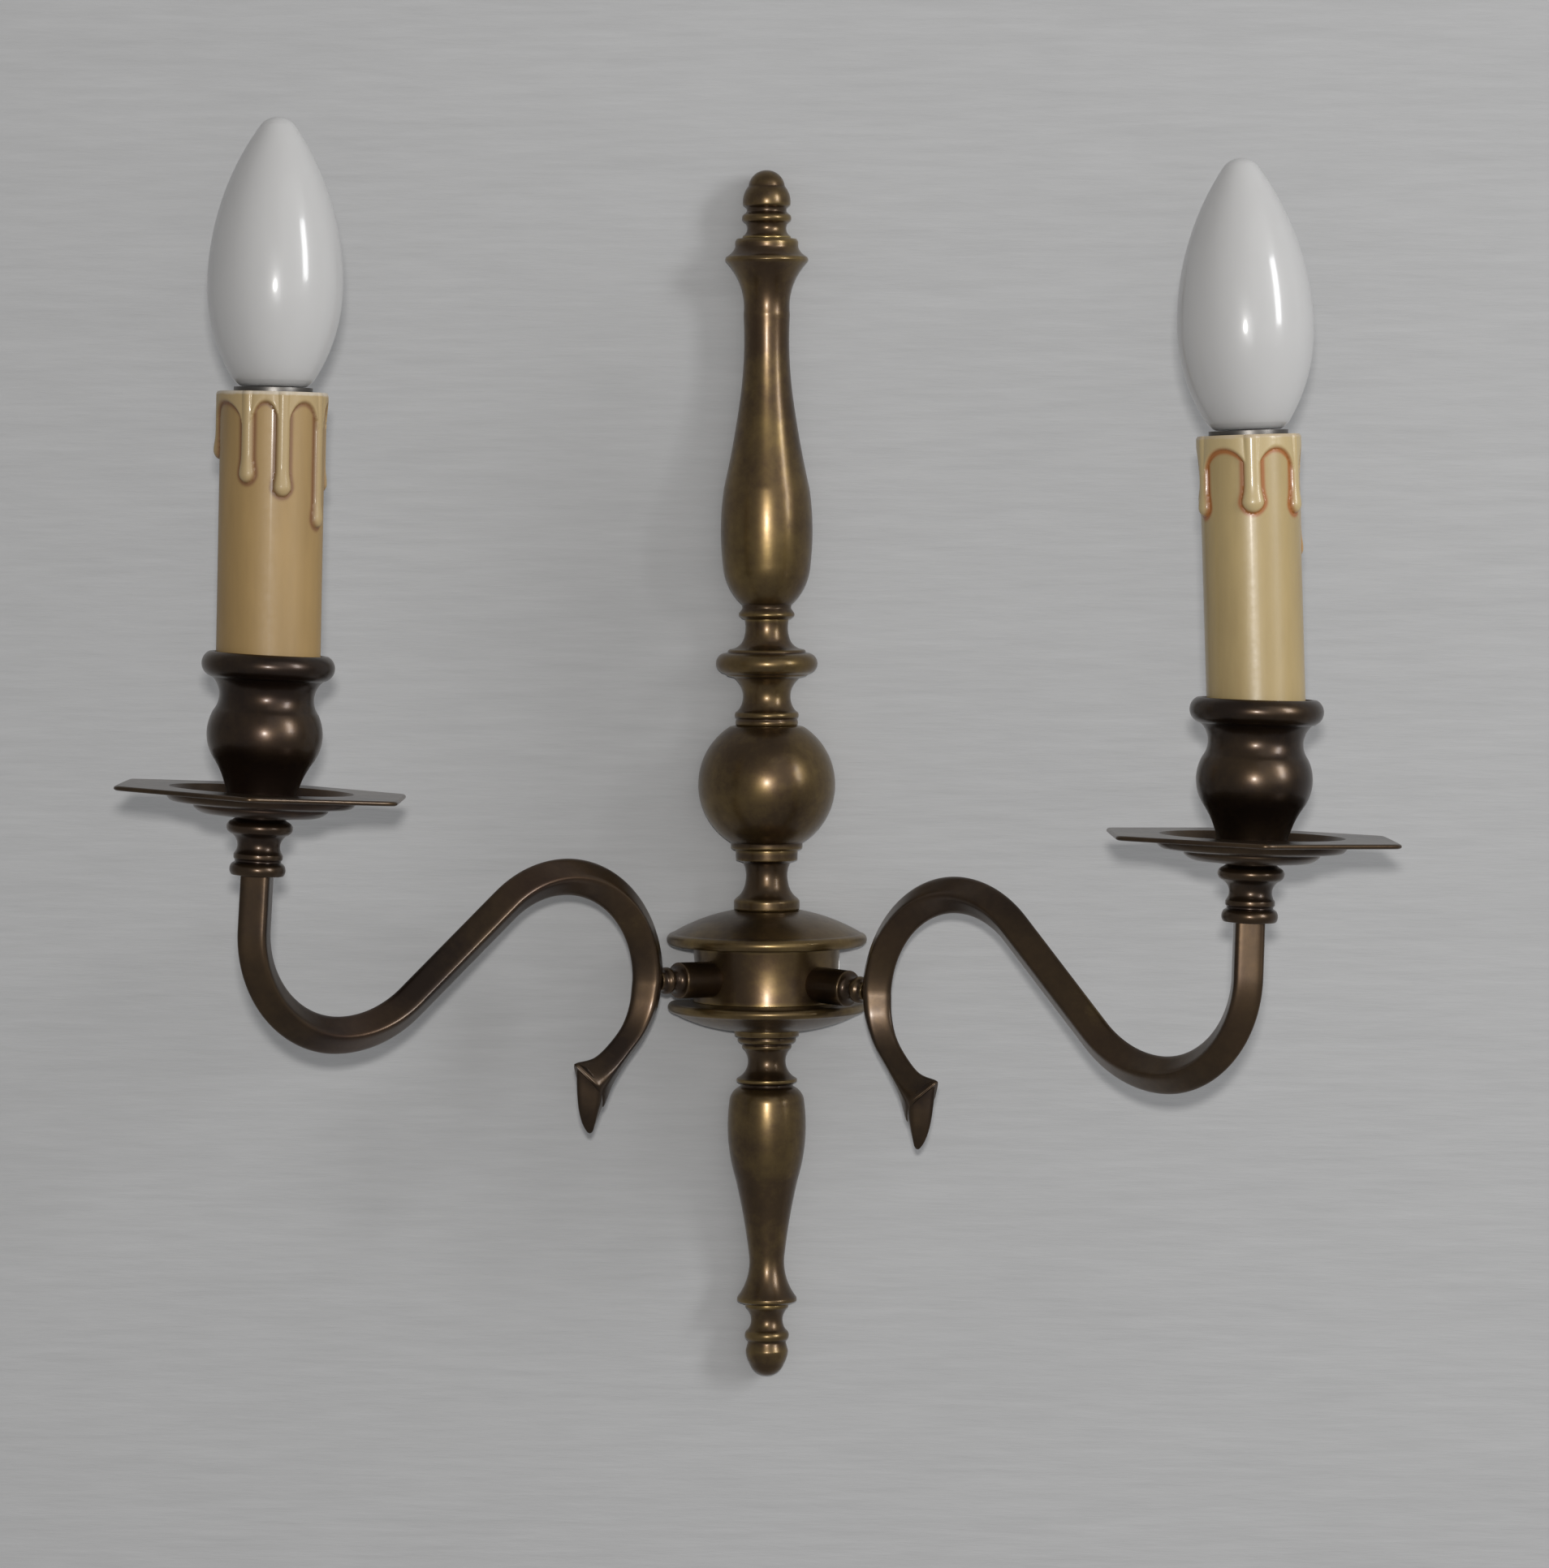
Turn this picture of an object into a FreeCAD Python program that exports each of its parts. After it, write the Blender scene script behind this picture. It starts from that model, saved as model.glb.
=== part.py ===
"""Double arm wall sconce: a turned, flat-backed brass column with a drum hub and two S-scroll arms.

Millimetres, +Z up, wall plane at Y = 0, front of the object towards -Y. The origin is the middle
of the wall plate's back face, level with the two arm pegs.
"""
import FreeCAD
import Part
import Sketcher
import math
import os

V = FreeCAD.Vector
Placement = FreeCAD.Placement
Rotation = FreeCAD.Rotation

# ---------------------------------------------------------------- driving dimensions (mm, degrees)

SIZES = {
    # wall plate and column
    "axis_gap": 5.0,            # column axis in front of the wall
    "back_gap": 2.0,            # flat backs of the column in front of the wall = wall plate thickness
    "rod_radius": 2.5,
    "rod_bore": 2.6,            # clearance hole through every turned piece
    "rod_low": -105.0,
    "rod_high": 216.0,
    "plate_width": 40.0,
    "plate_height": 18.0,
    "slot_spacing": 23.0,       # between the middles of the two level screw slots
    "slot_half_width": 2.2,
    "slot_length": 6.0,         # end to end
    "inlet_radius": 2.6,        # mains inlet in the wall plate
    "inlet_offset": 5.4,
    "tab_inner": 15.2,          # ears of the wall plate, inside the drum wall
    "tab_thick": 1.4,
    "tab_depth": 7.4,
    "tab_height": 8.0,
    "set_screw_radius": 1.5,    # one through each end of the drum wall into an ear
    "set_screw_start": 13.6,
    "set_screw_length": 6.7,
    # hub
    "drum_radius": 20.5,
    "drum_inner": 17.0,
    "drum_low": -6.3,
    "drum_high": 9.3,
    "block_width": 10.0,
    "block_depth": 8.0,
    "block_height": 11.0,
    "block_start": 2.8,         # in front of the column axis
    # where the arms stand
    "arm_azimuth": 41.0,        # each arm in front of the wall's own direction
    "arm_set": 2.5,             # both arms are set this much out of level, left end up
    # arm pegs
    "peg_inner": 12.5,
    "peg_body": 5.2,
    "peg_thread": 3.0,
    "peg_bore": 1.9,
    "peg_boss": 4.0,
    "peg_boss_end": 38.9,
    "peg_nut_across": 10.0,
    "cup_nut_across": 13.0,
    "nut_thick": 3.0,
    # arm bar: circle centres and radii of its centre line in the arm's own plane
    "bar_half": 4.95,           # half diagonal of the square bar
    "bar_edge": 0.55,           # softened edges
    "hook_centre": 70.4,
    "hook_radius": 28.9,
    "crest_radius": 30.8,
    "sag_radius": 34.6,
    "loop_centre": 142.6,
    "loop_level": 15.7,
    "loop_radius": 27.8,
    "upright_lean": 1.0,         # upright end, back towards the column
    "bar_top": 29.8,
    "tenon_radius": 4.0,
    "tenon_height": 4.0,
    "bar_bore": 2.2,
    "wire_radius": 1.0,
    "wire_start": 5.6,
    "wire_turn": 3.5,
    "wire_top": 119.6,
    # what stands on an arm's end
    "nipple_radius": 4.0,
    "nipple_bore": 2.6,
    "nipple_low": 34.1,
    "nipple_high": 84.0,
    "pan_flat": 36.4,           # half the pan's width across flats
    "pan_plate_low": 50.8,
    "pan_plate_thick": 1.25,
    "pan_opening": 24.0,
    "dish_low": 45.3,
    "cup_low": 46.6,
    "seat": 82.5,               # candle's foot in the cup
    "sleeve_low": 83.4,
    "sleeve_height": 71.6,
    "left_sleeve_radius": 13.95,
    "right_sleeve_radius": 13.15,
    "sleeve_wall": 0.95,
    "left_lean": -2.0,          # candle out of line with its arm, clockwise seen from the front
    "right_lean": -3.6,
    "shell_low": 124.3,
    "shell_height": 25.0,
    "shell_radius": 7.6,
    "shell_bore": 7.25,
    "contact_low": 124.0,
    "contact_radius": 2.3,
    "contact_height": 2.4,
    # bulb
    "foot_low": 126.7,
    "cap_low": 129.2,
    "cap_radius": 6.9,
    "glass_low": 156.4,
    "glass_radius": 17.5,
    "glass_height": 69.5,
    "glass_belly": 26.0,        # height of the widest place over the glass foot
    "glass_lower_arc": 45.5,
    "glass_upper_arc": 72.0,
    "glass_neck": 9.2,
    "glass_neck_height": 1.6,
    "glass_wall": 0.9,
}

# Outlines of the turned pieces: (radius, height over the piece's foot, rise of the arc that leads
# here from the point before). A positive rise bulges to the right of the way round, and "ball" puts
# the arc's centre on the axis. A word in a radius's place is a driving dimension.

TURNED = {
    "bottom_finial": (-111.0, [
        (0.0, 0.0), (4.7, 3.4, "ball"), (5.9, 7.2, 0.25), (5.3, 9.4), (5.3, 10.0), (5.3, 13.0, 0.85),
        (6.0, 19.4, -1.25), (6.0, 20.4), ("rod_bore", 20.4), ("rod_bore", 5.6), (0.0, 5.6)]),
    "lower_baluster": (-90.6, [
        ("rod_bore", 0.0), (6.6, 0.0), (8.3, 0.7), (8.3, 1.6), (5.0, 14.2, -1.35), (8.6, 34.8, -0.3),
        (10.4, 56.3, 1.15), (7.4, 60.5, 0.75), (7.1, 61.2), (8.4, 61.9), (8.4, 62.7),
        (6.4, 71.0, -2.1), (6.6, 72.5, 0.4), (7.4, 72.7), (7.9, 74.4, 0.45), (8.9, 74.7),
        (9.1, 76.3), ("rod_bore", 76.3)]),
    "hub_bottom_plate": (-14.3, [
        ("rod_bore", 0.0), (9.0, 0.0), (26.2, 5.0, 1.0), (26.4, 7.7, 1.2), (22.0, 8.0),
        ("rod_bore", 8.0)]),
    "hub_top_plate": (9.3, [
        ("rod_bore", 0.0), (26.8, 0.0), (26.2, 3.3, 1.25), (9.3, 9.6, 0.8), ("rod_bore", 9.6)]),
    "upper_neck": (18.9, [
        ("rod_bore", 0.0), (8.7, 0.0), (9.1, 0.5), (9.1, 2.7), (8.6, 3.3), (5.9, 8.0, -0.6),
        (6.5, 13.3, -0.45), (8.5, 14.0), (8.6, 16.9), ("rod_bore", 16.9)]),
    "ball_knop": (35.8, [
        ("rod_bore", 0.0), (9.4, 0.0), (9.9, 0.5), (9.9, 1.9), (10.2, 34.0, "ball"), (9.4, 34.2),
        ("rod_bore", 34.2)]),
    "ring_knop": (70.0, [
        ("rod_bore", 0.0), (8.3, 0.0), (8.3, 2.0, 0.35), (8.6, 3.8, 0.4), (8.0, 4.2),
        (8.3, 12.6, -1.6), (9.0, 13.4), (11.0, 13.9), (11.5, 14.5), (11.9, 20.1, 2.35),
        (10.8, 20.3), (10.2, 21.2, 0.2), (6.3, 24.3, -0.8), (6.1, 29.6, -0.35),
        ("rod_bore", 29.6)]),
    "upper_baluster": (99.6, [
        ("rod_bore", 0.0), (6.6, 0.0), (7.7, 0.9), (7.7, 1.5), (6.7, 3.0), (6.8, 3.9),
        (12.1, 15.0, 1.2), (11.8, 36.1, 0.7), (7.4, 60.1, -0.25), (6.4, 84.0, -0.6),
        (11.2, 98.3, -1.7), (11.5, 98.9), (11.2, 99.7), (8.7, 102.4, -0.4), (8.7, 103.9),
        (8.2, 104.7), ("rod_bore", 104.7)]),
    "top_finial": (204.3, [
        ("rod_bore", 0.0), (6.7, 0.0), (6.7, 0.6), (5.9, 4.4, -0.9), (5.9, 6.9, 0.9),
        (5.4, 7.5), (5.5, 8.4), (6.5, 9.2), (5.0, 14.4, 0.6), (0.0, 18.8, "ball"), (0.0, 12.6),
        ("rod_bore", 12.6)]),
    "arm_collar": (29.8, [
        (4.05, 0.0), (6.7, 0.0), (6.7, 3.1, 0.6), (6.0, 3.5), (6.0, 4.0), (6.4, 4.4), (6.4, 5.5),
        (7.5, 10.8, -1.35), (7.3, 14.2, 1.25), (6.6, 14.7), (6.6, 15.5), (4.05, 15.5)]),
    "drip_dish": (45.3, [
        (4.1, 0.0), (16.0, 0.0), (17.3, 1.3, 0.35), (17.3, 2.2), (22.8, 2.4), (24.5, 4.2, 0.5),
        (24.5, 6.75), (23.5, 6.75), (22.4, 3.8), (16.2, 3.5), (15.3, 1.3), (4.1, 1.3)]),
    "candle_cup": (46.6, [
        (4.1, 0.0), (8.6, 0.0), (9.15, 0.6), (9.15, 4.6), (13.1, 13.4, -0.5), (13.6, 25.6, 1.65),
        (14.4, 34.2, -1.7), (15.4, 40.8, 2.35), (14.5, 40.8), (14.5, 35.8), (10.8, 35.8),
        (10.8, 28.6), (11.6, 13.4, -1.6), (8.0, 5.2), (8.0, 3.0), (4.1, 3.0)]),
    "lampholder": (78.0, [
        (4.6, 0.0), (7.2, 0.0), (7.2, 20.0), (11.6, 24.0), (11.6, 72.4), (11.0, 73.0), (7.7, 73.0),
        (7.7, 46.0), (1.5, 46.0), (1.5, 42.0), (4.6, 42.0)]),
    "bulb_cap": (129.2, [
        (6.2, 0.0), (6.6, 0.0), (6.6, 3.2, 0.3), (6.6, 6.0, 0.3), (6.6, 8.8, 0.3), (6.6, 11.6, 0.3),
        (6.6, 14.4, 0.3), (6.6, 17.2, 0.3), (6.6, 21.6), (10.0, 24.6), (10.2, 25.2), (10.2, 27.0),
        (9.3, 27.2), (6.2, 23.0)]),
    "bulb_foot": (126.7, [
        (0.0, 0.0), (2.0, 0.0), (2.4, 0.4), (2.4, 0.9), (4.2, 1.2), (5.85, 2.6), (5.85, 4.4),
        (0.0, 4.4)]),
}

TAIL = [
    # angle round the hook, drawn in from its circle, half size in the arm's plane, half across
    (180.0, 0.0, 4.95, 4.95),
    (194.0, 0.25, 4.55, 4.65),
    (208.0, 0.65, 4.0, 4.3),
    (222.0, 1.2, 3.6, 4.0),
]
FLARE = [
    # distance out, height, heading in degrees, half size in the plane, half size across it
    (55.7, -22.3, -50.0, 4.1, 4.0),
    (60.0, -23.5, -63.0, 5.9, 4.5),
]
BEAK = [
    (59.8, -23.1, -63.0, 4.9, 3.9),
    (59.1, -28.0, -84.0, 3.9, 3.4),
    (59.5, -32.2, -92.0, 3.5, 2.9),
    (58.4, -35.8, -104.0, 2.3, 2.0),
    (56.5, -38.4, -112.0, 0.6, 0.5),
]

SIDES = {"left": 180.0, "right": 0.0}

doc = FreeCAD.newDocument("double_arm_wall_sconce")
sheet = doc.addObject("Spreadsheet::Sheet", "Sizes")
parts = {}


# ---------------------------------------------------------------- the sheet

def fill_sheet():
    """Writes every driving dimension and every outline point to a cell with an alias."""
    rows = dict(SIZES)
    for name, (foot, points) in TURNED.items():
        rows[name + "_foot"] = foot
        for index, point in enumerate(points):
            if not isinstance(point[0], str):
                rows[f"{name}_rad{index}"] = point[0]
            rows[f"{name}_up{index}"] = point[1]
    for line, (alias, value) in enumerate(rows.items(), start=1):
        sheet.set(f"A{line}", alias)
        sheet.set(f"B{line}", repr(float(value)))
        sheet.setAlias(f"B{line}", alias)
    doc.recompute()


def size(alias):
    """The number in the cell called alias."""
    return float(getattr(sheet, alias))


def bind(obj, **sizes):
    """Binds properties of obj to expressions over the sheet, such as Radius='rod_radius'."""
    for prop, expression in sizes.items():
        words = [("Sizes." + w if w in SIZES else w) for w in expression.split()]
        obj.setExpression(prop, " ".join(words))
    return obj


def keep(name, obj):
    """Names obj as a sub-part that is written out."""
    obj.Label = name
    parts[name] = obj
    return obj


# ---------------------------------------------------------------- frames

def hub_frame():
    """The column axis at the level of the arm pegs."""
    return Placement(V(0, -size("axis_gap"), 0), Rotation())


def arm_frame(side):
    """Frame of one arm: X runs out along the arm, Z up, origin on the column axis."""
    turn = 180.0 + size("arm_azimuth") if side == "left" else -size("arm_azimuth")
    spin = Rotation(V(0, 1, 0), size("arm_set")).multiply(Rotation(V(0, 0, 1), turn))
    return Placement(V(0, -size("axis_gap"), 0), spin)


def upright_point(level):
    """The point of the arm's plane at a level along the leaning upright's axis."""
    lean = size("upright_lean")
    loop = V(size("loop_centre"), size("loop_level"), 0)
    rise = level - loop.y
    side = on_circle(loop, size("loop_radius"), lean)
    back = math.radians(lean)
    return side + V(-rise * math.sin(back), rise * math.cos(back), 0)


def on_upright(side, level):
    """A place on the axis of the arm's upright, where the collar, pan and cup stand."""
    spot = upright_point(level)
    leaning = Rotation(V(0, 1, 0), -size("upright_lean"))
    return arm_frame(side).multiply(Placement(V(spot.x, 0, spot.y), leaning))


def on_candle(side, level):
    """A place on the candle's axis: the upright's, leaning about the seat in the cup."""
    seat = on_upright(side, size("seat"))
    lean = Rotation(V(0, 1, 0), size(side + "_lean"))
    leaning = Placement(seat.Base, lean.multiply(seat.Rotation))
    return leaning.multiply(Placement(V(0, 0, level - size("seat")), Rotation()))


# ---------------------------------------------------------------- sketches

def plane(body, role):
    """One of the body's own origin planes."""
    return [f for f in body.Origin.OriginFeatures if f.Role == role][0]


def new_sketch(body, name, role, offset=None):
    """A sketch on an origin plane of its own body."""
    sketch = body.newObject("Sketcher::SketchObject", name)
    sketch.AttachmentSupport = [(plane(body, role), "")]
    sketch.MapMode = "FlatFace"
    if offset is not None:
        sketch.AttachmentOffset = offset
    return sketch


def new_body(name):
    """An empty body."""
    return doc.addObject("PartDesign::Body", name)


def arc_edge(start, end, rise):
    """An arc from start to end whose middle stands rise to the right of the chord."""
    chord = end - start
    right = V(chord.y, -chord.x, 0).normalize()
    radius = (chord.Length ** 2 / 4 + rise ** 2) / (2 * abs(rise))
    side = 1 if rise > 0 else -1
    centre = (start + end) * 0.5 + right * (rise - side * radius)
    first, last = (start, end) if rise > 0 else (end, start)
    turns = [math.atan2(p.y - centre.y, p.x - centre.x) for p in (first, last)]
    if turns[1] < turns[0]:
        turns[1] += 2 * math.pi
    return Part.ArcOfCircle(Part.Circle(centre, V(0, 0, 1), radius), *turns)


def ball_rise(start, end):
    """The rise that puts an arc's centre on the axis, for a piece of a ball."""
    level = (end.x ** 2 + end.y ** 2 - start.x ** 2 - start.y ** 2) / (2 * (end.y - start.y))
    return arc_rise(math.hypot(start.x, start.y - level), start, end)


def pin(sketch, edge, spot, axis, value, alias=None):
    """Fixes one coordinate of an edge's end or centre, bound to a cell where alias names one."""
    if abs(value) < 1e-9:
        line = -2 if axis == "X" else -1
        sketch.addConstraint(Sketcher.Constraint("PointOnObject", edge, spot, line))
        return
    kind = "Distance" + axis
    mark = sketch.addConstraint(Sketcher.Constraint(kind, -1, 1, edge, spot, value))
    if alias:
        sketch.setExpression(f"Constraints[{mark}]", "Sizes." + alias)


def pin_point(sketch, edge, spot, point, aliases=(None, None)):
    """Fixes one end of an edge at point, bound to the cells in aliases where they are given."""
    pin(sketch, edge, spot, "X", point.x, aliases[0])
    pin(sketch, edge, spot, "Y", point.y, aliases[1])


def closed_outline(sketch, points, rises, aliases):
    """A closed chain of lines and arcs with every corner pinned to its cells."""
    ends = []
    for index, end in enumerate(points):
        start = points[index - 1]
        if rises[index]:
            arc = arc_edge(start, end, rises[index])
            edge = sketch.addGeometry(arc, False)
            by_x = abs(arc.Center.x) < 1e-6 or abs(end.y - start.y) > abs(end.x - start.x)
            centre = round(arc.Center.x if by_x else arc.Center.y, 9)
            pin(sketch, edge, 3, "X" if by_x else "Y", centre)
        else:
            edge = sketch.addGeometry(Part.LineSegment(start, end), False)
        geometry = sketch.Geometry[edge]
        forward = (geometry.StartPoint - start).Length < (geometry.EndPoint - start).Length
        ends.append((edge, 1 if forward else 2, 2 if forward else 1))
    for index, point in enumerate(points):
        edge, first, last = ends[index]
        after, after_first, after_last = ends[(index + 1) % len(ends)]
        sketch.addConstraint(Sketcher.Constraint("Coincident", edge, last, after, after_first))
        pin_point(sketch, edge, last, point, aliases[index])


def turned_body(name, outline, label):
    """A body turned about its own Z axis from one of the outlines, foot at height 0."""
    foot, points = TURNED[outline]
    body = new_body(label)
    sketch = new_sketch(body, label + "_outline", "XZ_Plane")
    corners, rises, aliases = [], [], []
    for index, point in enumerate(points):
        word = point[0] if isinstance(point[0], str) else f"{outline}_rad{index}"
        corners.append(V(size(word), point[1], 0))
        rise = point[2] if len(point) > 2 else 0.0
        rises.append(ball_rise(corners[-2], corners[-1]) if rise == "ball" else rise)
        aliases.append((word, f"{outline}_up{index}"))
    closed_outline(sketch, corners, rises, aliases)
    turn = body.newObject("PartDesign::Revolution", label + "_turning")
    turn.Profile = sketch
    turn.ReferenceAxis = (sketch, ["V_Axis"])
    turn.Angle = 360.0
    return body


def diamond(sketch, half_x, half_y, edge):
    """A square on its corner with softened corners, centred on the sketch's origin."""
    corners = [V(half_x - edge, edge, 0), V(edge, half_y - edge, 0)]
    corners += [V(-p.x, p.y, 0) for p in reversed(corners)]
    corners += [V(p.x, -p.y, 0) for p in reversed(corners)]
    for index, corner in enumerate(corners):
        sketch.addGeometry(Part.LineSegment(corner, corners[(index + 1) % 8]), False)
    for index in range(8):
        sketch.addConstraint(Sketcher.Constraint("Coincident", index, 2, (index + 1) % 8, 1))
    for index, mirror, line in ((0, 3, -2), (1, 2, -2), (0, 7, -1), (1, 6, -1), (3, 4, -1),
                                (2, 5, -1)):
        sketch.addConstraint(Sketcher.Constraint("Symmetric", index, 1, mirror, 1, line))
    pin_point(sketch, 0, 1, corners[0])
    pin_point(sketch, 1, 1, corners[1])


def round_section(sketch, alias):
    """A circle on the sketch's origin with its radius in a cell."""
    edge = sketch.addGeometry(Part.Circle(V(0, 0, 0), V(0, 0, 1), size(alias)), False)
    sketch.addConstraint(Sketcher.Constraint("Coincident", edge, 3, -1, 1))
    mark = sketch.addConstraint(Sketcher.Constraint("Radius", edge, size(alias)))
    sketch.setExpression(f"Constraints[{mark}]", "Sizes." + alias)


# ---------------------------------------------------------------- the arm's centre line

def on_circle(centre, radius, degrees):
    """A point on a circle in the arm's plane."""
    angle = math.radians(degrees)
    return V(centre.x + radius * math.cos(angle), centre.y + radius * math.sin(angle), 0)


def circle_arc(centre, radius, start, end):
    """An arc about centre from one angle to a larger one, in degrees."""
    circle = Part.Circle(V(centre.x, centre.y, 0), V(0, 0, 1), radius)
    return Part.ArcOfCircle(circle, math.radians(start), math.radians(end))


def bar_run(top):
    """Edges of the arm's centre line in its own plane (X out, Y up), from top down to the peg."""
    hook = V(size("hook_centre"), 0, 0)
    hook_radius = size("hook_radius")
    crest_radius = size("crest_radius")
    sag_radius = size("sag_radius")
    loop = V(size("loop_centre"), size("loop_level"), 0)
    loop_radius = size("loop_radius")
    crest = V(hook.x, hook_radius - crest_radius, 0)
    sag = V(loop.x, loop.y - loop_radius + sag_radius, 0)
    between = sag - crest
    slope = math.degrees(math.atan2(between.y, between.x)
                         - math.asin((crest_radius + sag_radius) / between.Length))
    upper = on_circle(crest, crest_radius, 90 + slope)
    lower = on_circle(sag, sag_radius, 270 + slope)
    lean = size("upright_lean")
    return [
        Part.LineSegment(upright_point(top), on_circle(loop, loop_radius, lean)),
        circle_arc(loop, loop_radius, 270, 360 + lean),
        circle_arc(sag, sag_radius, 270 + slope, 270),
        Part.LineSegment(lower, upper),
        circle_arc(crest, crest_radius, 90 + slope, 90),
    ]


def wire_turn_point():
    """Centre of the wire's turn out of the peg, and its angle on the hook circle."""
    turn = size("wire_turn")
    reach = size("hook_radius") + turn
    back = math.sqrt(reach * reach - turn * turn)
    centre = V(size("hook_centre") - back, turn, 0)
    return centre, 180.0 - math.degrees(math.asin(turn / reach))


def path_sketch(body, name, edges):
    """A sketch of the given edges in the arm's plane, each held where it is drawn."""
    sketch = new_sketch(body, name, "XZ_Plane")
    for edge in edges:
        index = sketch.addGeometry(edge, False)
        sketch.addConstraint(Sketcher.Constraint("Block", index))
    return sketch


def pipe(body, name, kind, section, path):
    """Sweeps a section along a path sketch, added to the body or taken from it."""
    sweep = body.newObject("PartDesign::" + kind, name)
    sweep.Profile = section
    sweep.Spine = (path, [])
    return sweep


def upright_section(body, name, draw, level):
    """A section sketch square to the upright's axis at a level."""
    spot = upright_point(level)
    leaning = Rotation(V(0, 1, 0), -size("upright_lean"))
    sketch = new_sketch(body, name, "XY_Plane", Placement(V(spot.x, 0, spot.y), leaning))
    draw(sketch)
    return sketch


def tail_section(body, name, reach, level, heading, half_in, half_across):
    """A softened diamond square to the heading at a point of the arm's plane."""
    offset = Placement(V(0, level, reach), Rotation(V(1, 0, 0), -heading))
    sketch = new_sketch(body, name, "YZ_Plane", offset)
    diamond(sketch, half_across, half_in, min(size("bar_edge"), 0.4 * half_across))
    return sketch


def loft(body, name, sections):
    """Joins the sections by a smooth skin and adds it to the body."""
    skin = body.newObject("PartDesign::AdditiveLoft", name)
    skin.Profile = sections[0]
    skin.Sections = sections[1:]
    skin.Ruled = False
    return skin


# ---------------------------------------------------------------- column

def block(name, corner, **sizes):
    """A box from its lowest corner, sizes given as expressions."""
    box = doc.addObject("Part::Box", name)
    bind(box, **sizes)
    box.Placement = Placement(corner, Rotation())
    return box


def wall_cutter():
    """All the space behind the column's flat backs."""
    return block("behind_column", V(-100, -size("back_gap"), -200), Length="200", Width="60",
                 Height="500")


def column_piece(name, cutter):
    """One turned piece of the column with its back cut flat."""
    body = turned_body(name, name, name + "_blank")
    body.Placement = Placement(V(0, -size("axis_gap"), TURNED[name][0]), Rotation())
    cut = doc.addObject("Part::Cut", name)
    cut.Base = body
    cut.Tool = cutter
    return keep(name, cut)


def tie_rod():
    """The rod that holds the turned pieces together, screwed into both finials."""
    rod = doc.addObject("Part::Cylinder", "tie_rod")
    bind(rod, Radius="rod_radius", Height="rod_high - rod_low")
    rod.Placement = Placement(V(0, -size("axis_gap"), size("rod_low")), Rotation())
    return keep("tie_rod", rod)


def cylinder(name, radius, height, place):
    """A round bar along its own Z axis, sizes given as expressions."""
    bar = doc.addObject("Part::Cylinder", name)
    bind(bar, Radius=radius, Height=height)
    bar.Placement = place
    return bar


def fuse_all(name, tools):
    """One solid of several overlapping ones."""
    joined = doc.addObject("Part::MultiFuse", name)
    joined.Shapes = tools
    return joined


def cut_all(name, base, tools):
    """The base without any of the tools."""
    cut = doc.addObject("Part::Cut", name)
    cut.Base = base
    cut.Tool = tools[0] if len(tools) == 1 else fuse_all(name + "_tools", tools)
    return cut


def hub_drum(cutter):
    """The drum between the hub plates, drilled for both pegs and both plate screws."""
    outer = cylinder("drum_outer", "drum_radius", "drum_high - drum_low",
                     Placement(V(0, -size("axis_gap"), size("drum_low")), Rotation()))
    inner = cylinder("drum_hollow", "drum_inner", "drum_high - drum_low + 2",
                     Placement(V(0, -size("axis_gap"), size("drum_low") - 1), Rotation()))
    tools = [inner, cutter]
    for side in SIDES:
        place = arm_frame(side).multiply(Placement(V(10, 0, 0), Rotation(V(0, 1, 0), 90)))
        tools.append(cylinder(side + "_peg_hole", "peg_thread + 0.05", "20", place))
    for side, angle in (("left", -90), ("right", 90)):
        place = hub_frame().multiply(Placement(V(0, 0, 0), Rotation(V(0, 1, 0), angle)))
        tools.append(cylinder(side + "_drum_screw_hole", "set_screw_radius + 0.03", "30", place))
    return keep("hub_drum", cut_all("hub_drum", outer, tools))


def wall_plate():
    """The steel plate behind the hub: two level slots, the mains inlet and two threaded ears."""
    thick = size("back_gap")
    solids = [block("plate_blank", V(-size("plate_width") / 2, -thick, -size("plate_height") / 2),
                    Length="plate_width", Width="back_gap", Height="plate_height")]
    forward = Rotation(V(1, 0, 0), 90)
    tools = [cylinder("mains_inlet", "inlet_radius", "6",
                      Placement(V(size("inlet_offset"), 2, 0), forward))]
    half = size("slot_length") / 2 - size("slot_half_width")
    for side, way in (("left", -1), ("right", 1)):
        near = way * size("tab_inner") if way > 0 else -size("tab_inner") - size("tab_thick")
        solids.append(block(side + "_ear", V(near, -size("tab_depth"), -size("tab_height") / 2),
                            Length="tab_thick", Width="tab_depth - 0.5", Height="tab_height"))
        lying = hub_frame().multiply(Placement(V(0, 0, 0), Rotation(V(0, 1, 0), way * 90)))
        tools.append(cylinder(side + "_ear_thread", "set_screw_radius + 0.03", "19", lying))
        centre = way * size("slot_spacing") / 2
        for end in (-half, half):
            tools.append(cylinder(f"{side}_slot_end_{end > 0}", "slot_half_width", "6",
                                  Placement(V(centre + end, 2, 0), forward)))
        tools.append(block(side + "_slot_middle", V(centre - half, -4, -size("slot_half_width")),
                           Length="slot_length - 2 * slot_half_width", Width="6",
                           Height="2 * slot_half_width"))
    return keep("wall_plate", cut_all("wall_plate", fuse_all("plate_and_ears", solids), tools))


def set_screws():
    """The two headless screws that hold the drum to the ears of the wall plate."""
    screws = []
    for side, way in (("left", -1), ("right", 1)):
        lying = hub_frame().multiply(Placement(V(way * size("set_screw_start"), 0, 0),
                                               Rotation(V(0, 1, 0), way * 90)))
        screws.append(cylinder(side + "_set_screw", "set_screw_radius", "set_screw_length", lying))
    return keep("set_screws", fuse_all("set_screws", screws))


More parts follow.
